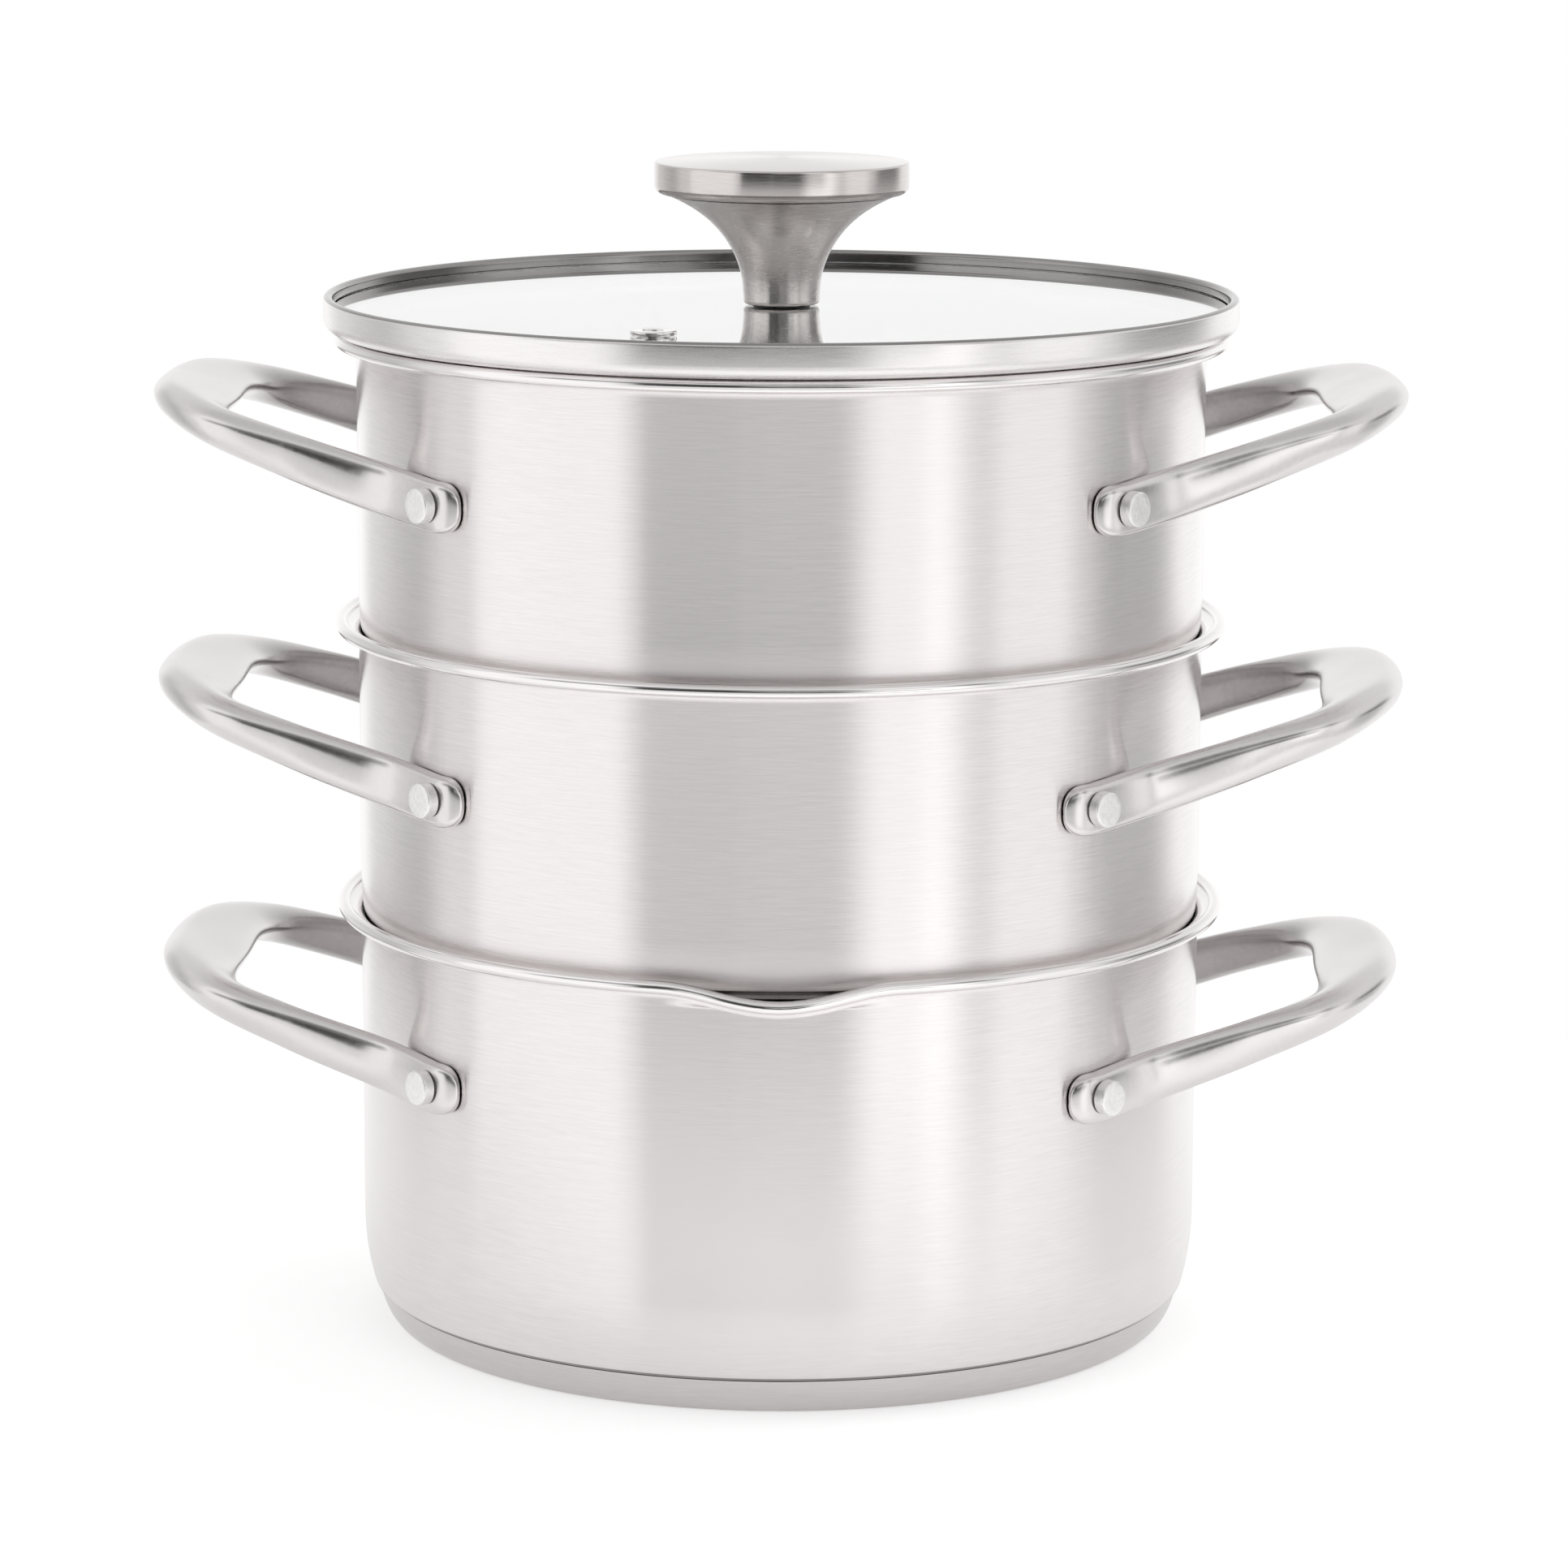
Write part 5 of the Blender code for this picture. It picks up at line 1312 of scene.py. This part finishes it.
class STEAMER_OT_lid(bpy.types.Operator):
    """Make the lid's steel band, its glass and its steam vent"""
    bl_idname = "steamer.lid"
    bl_label = "Lid"

    def execute(self, context):
        vessel, lid, finish = (group(context, name) for name in ("vessel", "lid", "finish"))
        levels = Levels(context)
        steel = steel_named(context, "band")
        seat_top = levels.lid_seat + lid.seat_wall
        skirt = vessel.inner_radius - lid.skirt_gap
        skirt_low = levels.lid_seat - lid.skirt_depth
        groove = levels.lid - lid.band_wall
        roll = levels.lid - lid.band_roll
        over_glass = levels.glass_top + vessel.fit_gap
        tuck = levels.lid_seat + lid.tuck_radius * math.sin(lid.tuck_sweep)
        band = [(skirt - lid.skirt_wall, skirt_low), (skirt - lid.skirt_wall, seat_top),
                (groove, seat_top), (groove, over_glass), (roll - lid.band_roll, over_glass)]
        band += arc(roll, levels.lid_top - lid.band_roll, lid.band_roll, 180.0, 0.0, 18)
        band += arc(levels.lid - lid.tuck_radius, tuck, lid.tuck_radius, 0.0,
                    -math.degrees(lid.tuck_sweep), 14)
        band += [(skirt, levels.lid_seat), (skirt, skirt_low)]
        mesh = turned("lid_band", band, vessel.steps, steel, closed=True)
        seat = levels.lid_seat + lid.underside
        # The band's inward faces get the dark steel that paints the shade inside the band
        paint(mesh, steel_named(context, "nest"), lambda face: faces_inward(face)
              and not (face.normal.z < 0.0 and face.center.z < seat))
        add_piece("lid_band", mesh, "lid", ["lid_rim"])

        radius = levels.lid - lid.band_wall - vessel.fit_gap
        disc = [(0.0, levels.glass_top), (radius - lid.glass_edge, levels.glass_top),
                (radius, levels.glass_top - lid.glass_edge), (radius, levels.glass),
                (0.0, levels.glass)]
        glass = clear_glass("glass_finish", tuple(finish.glass_colour))
        mesh = turned("lid_glass_disc", disc, vessel.steps, glass)
        edit(mesh, flatten_discs(radius))
        middle = (levels.glass + levels.glass_top) / 2.0
        holes = [rods(size, 3.0 * lid.glass_thickness, SMALL_STEPS, [Matrix.Translation(spot)])
                 for size, spot in ((levels.screw_hole, (0.0, 0.0, middle)),
                                    (lid.vent_tube + vessel.fit_gap,
                                     (lid.vent_x, lid.vent_y, middle)))]
        mesh = cut_away("lid_glass_disc", mesh, holes)
        add_piece("lid_glass_disc", mesh, "lid", ["lid_glass"])

        top, low = over_glass, levels.glass - vessel.fit_gap
        edge, rim = lid.vent_edge, lid.vent_flange
        eyelet = [(lid.vent_bore, low - lid.vent_height),
                  (lid.vent_bore, top + lid.vent_height - edge)]
        eyelet += arc(lid.vent_bore + edge, top + lid.vent_height - edge, edge, 180.0, 90.0, 5)
        eyelet += arc(rim - edge, top + lid.vent_height - edge, edge, 90.0, 0.0, 5)
        eyelet += [(rim, top), (lid.vent_tube, top), (lid.vent_tube, low), (rim, low)]
        eyelet += arc(rim - edge, low - lid.vent_height + edge, edge, 0.0, -90.0, 5)
        mesh = turned("vent_eyelet", eyelet, SMALL_STEPS, steel_named(context, "vent"),
                      closed=True)
        mesh.transform(Matrix.Translation((lid.vent_x, lid.vent_y, 0.0)))
        add_piece("vent_eyelet", mesh, "lid", ["steam_vent"])
        return {"FINISHED"}


def stem_radius(knob, levels, height, wall=0.0):
    """The stem's radius at a height, or that of its bore where a wall is given."""
    rise = max(height - levels.stem - knob.foot_height, 0.0) / knob.flare_height
    sixth = 1.0 - knob.flare_square
    curve = knob.flare_square * rise ** 2 + sixth * rise ** 6
    slope = 2.0 * knob.flare_square * rise + 6.0 * sixth * rise ** 5
    steepness = math.hypot(1.0, slope * knob.flare_reach / knob.flare_height)
    return knob.neck + knob.flare_reach * curve - wall * steepness


class STEAMER_OT_knob(bpy.types.Operator):
    """Make the knob's stem and cap, and what shows of its fastening under the glass"""
    bl_idname = "steamer.knob"
    bl_label = "Knob"

    def execute(self, context):
        vessel, knob, finish = (group(context, name) for name in ("vessel", "knob", "finish"))
        levels = Levels(context)
        recess = knob.gasket_radius + vessel.fit_gap
        start = levels.stem + knob.foot_height
        stem = [(recess, levels.stem), (recess, levels.stem_recess),
                (levels.screw_hole, levels.stem_recess), (levels.screw_hole, levels.stem_floor)]
        for part in np.linspace(0.0, 1.0, 24):
            height = levels.stem_floor + (levels.stem_top - levels.stem_floor) * math.sqrt(part)
            stem.append((stem_radius(knob, levels, height, knob.stem_wall), height))
        for part in np.linspace(0.0, 1.0, 48):
            height = start + (levels.stem_top - start) * math.sqrt(1.0 - part)
            stem.append((stem_radius(knob, levels, height), height))
        edge = knob.foot_edge
        stem += arc(knob.neck - edge, levels.stem + edge, edge, 0.0, -90.0, 8)
        mesh = turned("knob_flared_stem", stem, knob.steps, steel_named(context, "stem"),
                      closed=True)
        add_piece("knob_flared_stem", mesh, "lid", ["knob_stem"])

        top = levels.cap + knob.cap_height
        spigot_low = levels.stem_top - knob.spigot
        spigot = stem_radius(knob, levels, spigot_low, knob.stem_wall) - vessel.fit_gap
        inside = knob.cap_radius - knob.cap_wall
        shoulder = knob.cap_radius - knob.cap_top_edge
        cap = [(shoulder * part, top + knob.cap_dome * (1.0 - part ** 2))
               for part in np.linspace(0.0, 1.0, 16)[:-1]]
        cap += arc(shoulder, top - knob.cap_top_edge, knob.cap_top_edge, 90.0, 0.0, 8)
        cap += arc(knob.cap_radius - knob.cap_low_edge, levels.cap + knob.cap_low_edge,
                   knob.cap_low_edge, 0.0, -90.0, 10)
        cap += [(spigot, levels.cap), (spigot, spigot_low), (spigot - knob.cap_wall, spigot_low),
                (spigot - knob.cap_wall, levels.cap + knob.cap_wall),
                (inside - knob.cap_low_edge / 2.0, levels.cap + knob.cap_wall),
                (inside, levels.cap + knob.cap_wall + knob.cap_low_edge / 2.0),
                (inside, top - knob.cap_wall), (0.0, top - knob.cap_wall)]
        mesh = turned("knob_cap_drum", cap, knob.steps, steel_named(context, "knob"))
        add_piece("knob_cap_drum", mesh, "lid", ["knob_cap"])

        plain = steel_named(context, "fastening")
        rubber = soft_silicone("silicone_finish", tuple(finish.silicone_colour))
        for name, outer, high, material, slot, node in (
                ("glass_washer", knob.pad_washer, levels.pad_washer, rubber, "silicone",
                 "glass_pad_washer"),
                ("steel_washer", knob.steel_washer, levels.steel_washer, plain,
                 "polished_steel", "screw_washer")):
            ring = [(levels.screw_hole, high - knob.washer), (levels.screw_hole, high),
                    (outer, high), (outer, high - knob.washer)]
            mesh = turned(name, ring, SMALL_STEPS, material, closed=True)
            add_piece(name, mesh, "lid", [node])

        low = levels.screw_seat - knob.screw_head_height
        bevel = knob.screw_head_edge
        screw = [(0.0, levels.screw_top), (knob.screw_radius, levels.screw_top),
                 (knob.screw_radius, levels.screw_seat), (knob.screw_head, levels.screw_seat)]
        screw += arc(knob.screw_head - bevel, low + bevel, bevel, 0.0, -90.0, 6) + [(0.0, low)]
        mesh = turned("fixing_screw", screw, SMALL_STEPS, plain)
        size = Matrix.Diagonal((3.0 * knob.screw_head, knob.slot_width, 2.0 * knob.slot_depth,
                                1.0))
        slot = place_object("slot", edit(
            bpy.data.meshes.new("slot"), lambda shape: bmesh.ops.create_cube(
                shape, size=1.0, matrix=Matrix.Translation((0.0, 0.0, low)) @ size)))
        mesh = cut_away("fixing_screw", mesh, [slot])
        add_piece("fixing_screw", mesh, "lid", ["knob_screw"])
        return {"FINISHED"}


class STEAMER_OT_hidden_finish(bpy.types.Operator):
    """Give the solids that stay, inside the base and the knob, their finishes"""
    bl_idname = "steamer.hidden_finish"
    bl_label = "Hidden pieces' finish"

    def execute(self, context):
        finish = group(context, "finish")
        core = brushed_metal("core_finish", tuple(finish.core_colour), CORE_ROUGHNESS,
                             CORE_BRUSHING)
        plain = steel_named(context, "fastening")
        rubber = soft_silicone("silicone_finish", tuple(finish.silicone_colour))
        for node, material in (("base_core", core), ("knob_insert", plain),
                               ("knob_gasket", rubber)):
            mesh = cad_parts[node].data
            if not mesh.materials:
                mesh.materials.append(material)
            for index in range(len(mesh.materials)):
                mesh.materials[index] = material
        return {"FINISHED"}


SENSOR_WIDTH = 36.0
KEY_SPOT, KEY_AIM = (0.9, 0.35, 1.3), (0.0, 0.0, 0.1)
# How bright the table is where it is mirrored: from behind the first depth to before the second
MIRROR_DEPTHS, MIRROR_LEVELS = (-0.08, -0.22), (0.66, 1.15)
# Where the room is lighter or darker, by the size of that name and its sign, and each patch's
# sizes in degrees. A direction of 0 is towards the camera, and less than 0 is to its left.
PATCH_SIZES = ("Direction", "Half Width", "Left Edge", "Right Edge", "Height", "Half Height",
               "Low Edge", "High Edge")
ROOM_PATCHES = (
    ("backdrop", 1.0, (180.0, 65.0, 30.0, 30.0, -10.0, 35.0, 20.0, 20.0)),
    ("left_box", 1.0, (-66.0, 27.0, 6.0, 6.0, 10.0, 60.0, 20.0, 20.0)),
    ("right_box", 1.0, (35.0, 21.0, 14.0, 16.0, 12.0, 37.0, 10.0, 14.0)),
    ("side_box", 1.0, (72.0, 16.0, 8.0, 8.0, -2.0, 24.0, 12.0, 12.0)),
    ("stand", -1.0, (-20.0, 18.0, 2.0, 10.0, 8.0, 14.5, 2.0, 8.0)),
    ("camera_shade", -1.0, (18.0, 28.0, 6.0, 12.0, 3.0, 9.5, 2.0, 4.0)),
    ("side_shade", -1.0, (114.0, 24.0, 12.0, 12.0, 3.0, 9.5, 2.0, 4.0)),
    ("high_shade", -1.0, (-5.0, 75.0, 20.0, 20.0, 28.0, 13.0, 5.0, 5.0)),
    ("left_gap", -1.0, (-130.0, 30.0, 16.0, 16.0, 0.0, 40.0, 20.0, 30.0)),
    ("right_gap", -1.0, (112.0, 28.0, 14.0, 20.0, -4.0, 26.0, 12.0, 12.0)),
    ("ceiling_gap", -1.0, (0.0, 200.0, 10.0, 10.0, 90.0, 50.0, 30.0, 30.0)),
)


class STEAMER_OT_stage(bpy.types.Operator):
    """Set up the table, the camera and the light"""
    bl_idname = "steamer.stage"
    bl_label = "Stage"

    def execute(self, context):
        studio = group(context, "studio")
        scene = context.scene
        add_camera(scene, studio)
        add_table(studio)
        add_room(scene, studio)
        lamp = bpy.data.lights.new("key_lamp", "AREA")
        lamp.shape = "DISK"
        lamp.size = studio.key_size
        lamp.energy = studio.key_power
        key = place_object("key_lamp", lamp)
        aim = (Vector(KEY_AIM) - Vector(KEY_SPOT)).to_track_quat("-Z", "Y")
        key.matrix_world = Matrix.Translation(KEY_SPOT) @ aim.to_matrix().to_4x4()
        key.visible_glossy = False
        scene.view_settings.view_transform = "Standard"
        return {"FINISHED"}


def add_camera(scene, studio):
    data = bpy.data.cameras.new("camera")
    data.lens = studio.lens
    data.sensor_width = SENSOR_WIDTH
    camera = place_object("camera", data)
    camera.matrix_world = (
        Matrix.Translation((studio.camera_side, -studio.camera_distance, studio.camera_height))
        @ Matrix.Rotation(math.pi / 2.0 - studio.camera_tilt, 4, "X")
        @ Matrix.Rotation(studio.camera_roll, 4, "Z"))
    scene.camera = camera


def add_table(studio):
    """A pale round table that keeps the shadow and is white where the light falls on it."""
    mesh = edit(bpy.data.meshes.new("table"), lambda shape: bmesh.ops.create_circle(
        shape, cap_ends=True, segments=96, radius=studio.table_radius))
    material = bpy.data.materials.new("table_white")
    material.use_nodes = True
    tree = material.node_tree
    tree.nodes.clear()
    white = (studio.table_white,) * 3 + (1.0,)
    matt = add_node(tree, "ShaderNodeBsdfDiffuse", {"Color": white})
    lift = add_node(tree, "ShaderNodeEmission", {
        "Color": (1.0, 1.0, 1.0, 1.0), "Strength": seen_ray(tree, studio.table_lift)})
    both = add_node(tree, "ShaderNodeAddShader", {0: matt.outputs[0], 1: lift.outputs[0]})
    out = tree.nodes.new("ShaderNodeOutputMaterial")
    tree.links.new(both.outputs[0], out.inputs["Surface"])
    mesh.materials.append(material)
    table = place_object("table", mesh)


def seen_ray(tree, level):
    """A level for what is seen and mirrored, less behind the pot, and nothing for the rest."""
    rays = add_node(tree, "ShaderNodeLightPath").outputs
    spot = add_node(tree, "ShaderNodeTexCoord").outputs["Object"]
    parts = add_node(tree, "ShaderNodeSeparateXYZ", {0: spot}).outputs
    front = add_node(tree, "ShaderNodeMapRange", {
        "Value": parts["Y"], "From Min": MIRROR_DEPTHS[0], "From Max": MIRROR_DEPTHS[1],
        "To Min": MIRROR_LEVELS[0], "To Max": MIRROR_LEVELS[1]},
        interpolation_type="SMOOTHSTEP").outputs[0]
    seen = calculate(tree, "MAXIMUM", rays["Is Camera Ray"],
                     calculate(tree, "MAXIMUM", rays["Is Transmission Ray"],
                               calculate(tree, "MULTIPLY", rays["Is Glossy Ray"], front)))
    return calculate(tree, "MULTIPLY", seen, level)


def soft_box_group():
    """A soft edged patch of light in one direction of the room, as a mask."""
    tree, given, result = start_shader_group(
        "soft box", [("Direction", "Float", 0.0), ("Half Width", "Float", 0.5),
                     ("Left Edge", "Float", 0.1), ("Right Edge", "Float", 0.1),
                     ("Height", "Float", 0.0), ("Half Height", "Float", 0.5),
                     ("Low Edge", "Float", 0.1), ("High Edge", "Float", 0.1)],
        [("Mask", "Float")])
    ray = add_node(tree, "ShaderNodeTexCoord").outputs["Generated"]
    parts = add_node(tree, "ShaderNodeSeparateXYZ", {0: ray}).outputs
    turn = calculate(tree, "ARCTAN2", parts["X"], calculate(tree, "MULTIPLY", parts["Y"], -1.0))
    away = calculate(tree, "WRAP", calculate(tree, "SUBTRACT", turn, given["Direction"]),
                     math.pi, -math.pi)
    above = calculate(tree, "SUBTRACT", calculate(tree, "ARCSINE", parts["Z"]), given["Height"])
    mask = 1.0
    for sign, edge, half, offset in (
            (-1.0, "Left Edge", "Half Width", away), (1.0, "Right Edge", "Half Width", away),
            (-1.0, "Low Edge", "Half Height", above), (1.0, "High Edge", "Half Height", above)):
        reach = calculate(tree, "SUBTRACT", given[half],
                          calculate(tree, "MULTIPLY", offset, sign))
        soft = add_node(tree, "ShaderNodeMapRange", {
            "Value": calculate(tree, "DIVIDE", reach, given[edge])},
            interpolation_type="SMOOTHSTEP").outputs[0]
        mask = calculate(tree, "MULTIPLY", mask, soft)
    tree.links.new(mask, result["Mask"])
    return tree


def add_room(scene, studio):
    """A pale room: a bright backdrop, soft boxes at both sides and a dark stand in front."""
    world = bpy.data.worlds.new("studio")
    world.use_nodes = True
    scene.world = world
    tree = world.node_tree
    tree.nodes.clear()
    level = studio.surround
    for patch, sign, sizes in ROOM_PATCHES:
        node = tree.nodes.new("ShaderNodeGroup")
        node.node_tree = tree_named("soft box", soft_box_group)
        for name, value in zip(PATCH_SIZES, sizes):
            node.inputs[name].default_value = math.radians(value)
        level = calculate(tree, "ADD", level, calculate(
            tree, "MULTIPLY", node.outputs["Mask"], sign * getattr(studio, patch)))
    level = calculate(tree, "MAXIMUM", level, studio.darkest)
    rays = add_node(tree, "ShaderNodeLightPath").outputs
    seen = calculate(tree, "MAXIMUM", rays["Is Camera Ray"], rays["Is Transmission Ray"])
    strength = add_node(tree, "ShaderNodeMix", {0: seen, 2: level, 3: 1.0},
                        data_type="FLOAT").outputs[0]
    light = add_node(tree, "ShaderNodeBackground", {"Strength": strength})
    light.inputs["Color"].default_value = (1.0, 1.0, 1.0, 1.0)
    out = tree.nodes.new("ShaderNodeOutputWorld")
    tree.links.new(light.outputs[0], out.inputs["Surface"])


OPERATORS = (STEAMER_OT_pot, STEAMER_OT_steamers, STEAMER_OT_handles, STEAMER_OT_rivets,
             STEAMER_OT_lid, STEAMER_OT_knob, STEAMER_OT_hidden_finish, STEAMER_OT_stage)


class STEAMER_PT_panel(bpy.types.Panel):
    """Lists the pieces and their sizes in the sidebar"""
    bl_idname = "STEAMER_PT_panel"
    bl_label = "Three tier steamer pot"
    bl_space_type = "VIEW_3D"
    bl_region_type = "UI"
    bl_category = "Steamer"

    def draw(self, context):
        for operator in OPERATORS:
            self.layout.operator(operator.bl_idname)
        for name in GROUPS:
            box = self.layout.box()
            box.label(text=name.replace("_", " ").capitalize())
            sizes = group(context, name)
            for size in type(sizes).__annotations__:
                box.prop(sizes, size)


def register():
    for kind in (*GROUPS.values(), *OPERATORS, STEAMER_PT_panel):
        bpy.utils.register_class(kind)
    for name, kind in GROUPS.items():
        setattr(bpy.types.Scene, "steamer_" + name, PointerProperty(type=kind))


def unregister():
    for name in GROUPS:
        delattr(bpy.types.Scene, "steamer_" + name)
    for kind in reversed((*GROUPS.values(), *OPERATORS, STEAMER_PT_panel)):
        bpy.utils.unregister_class(kind)


def main():
    register()
    for operator in OPERATORS:
        family, name = operator.bl_idname.split(".")
        getattr(getattr(bpy.ops, family), name)()


if __name__ == "__main__":
    main()
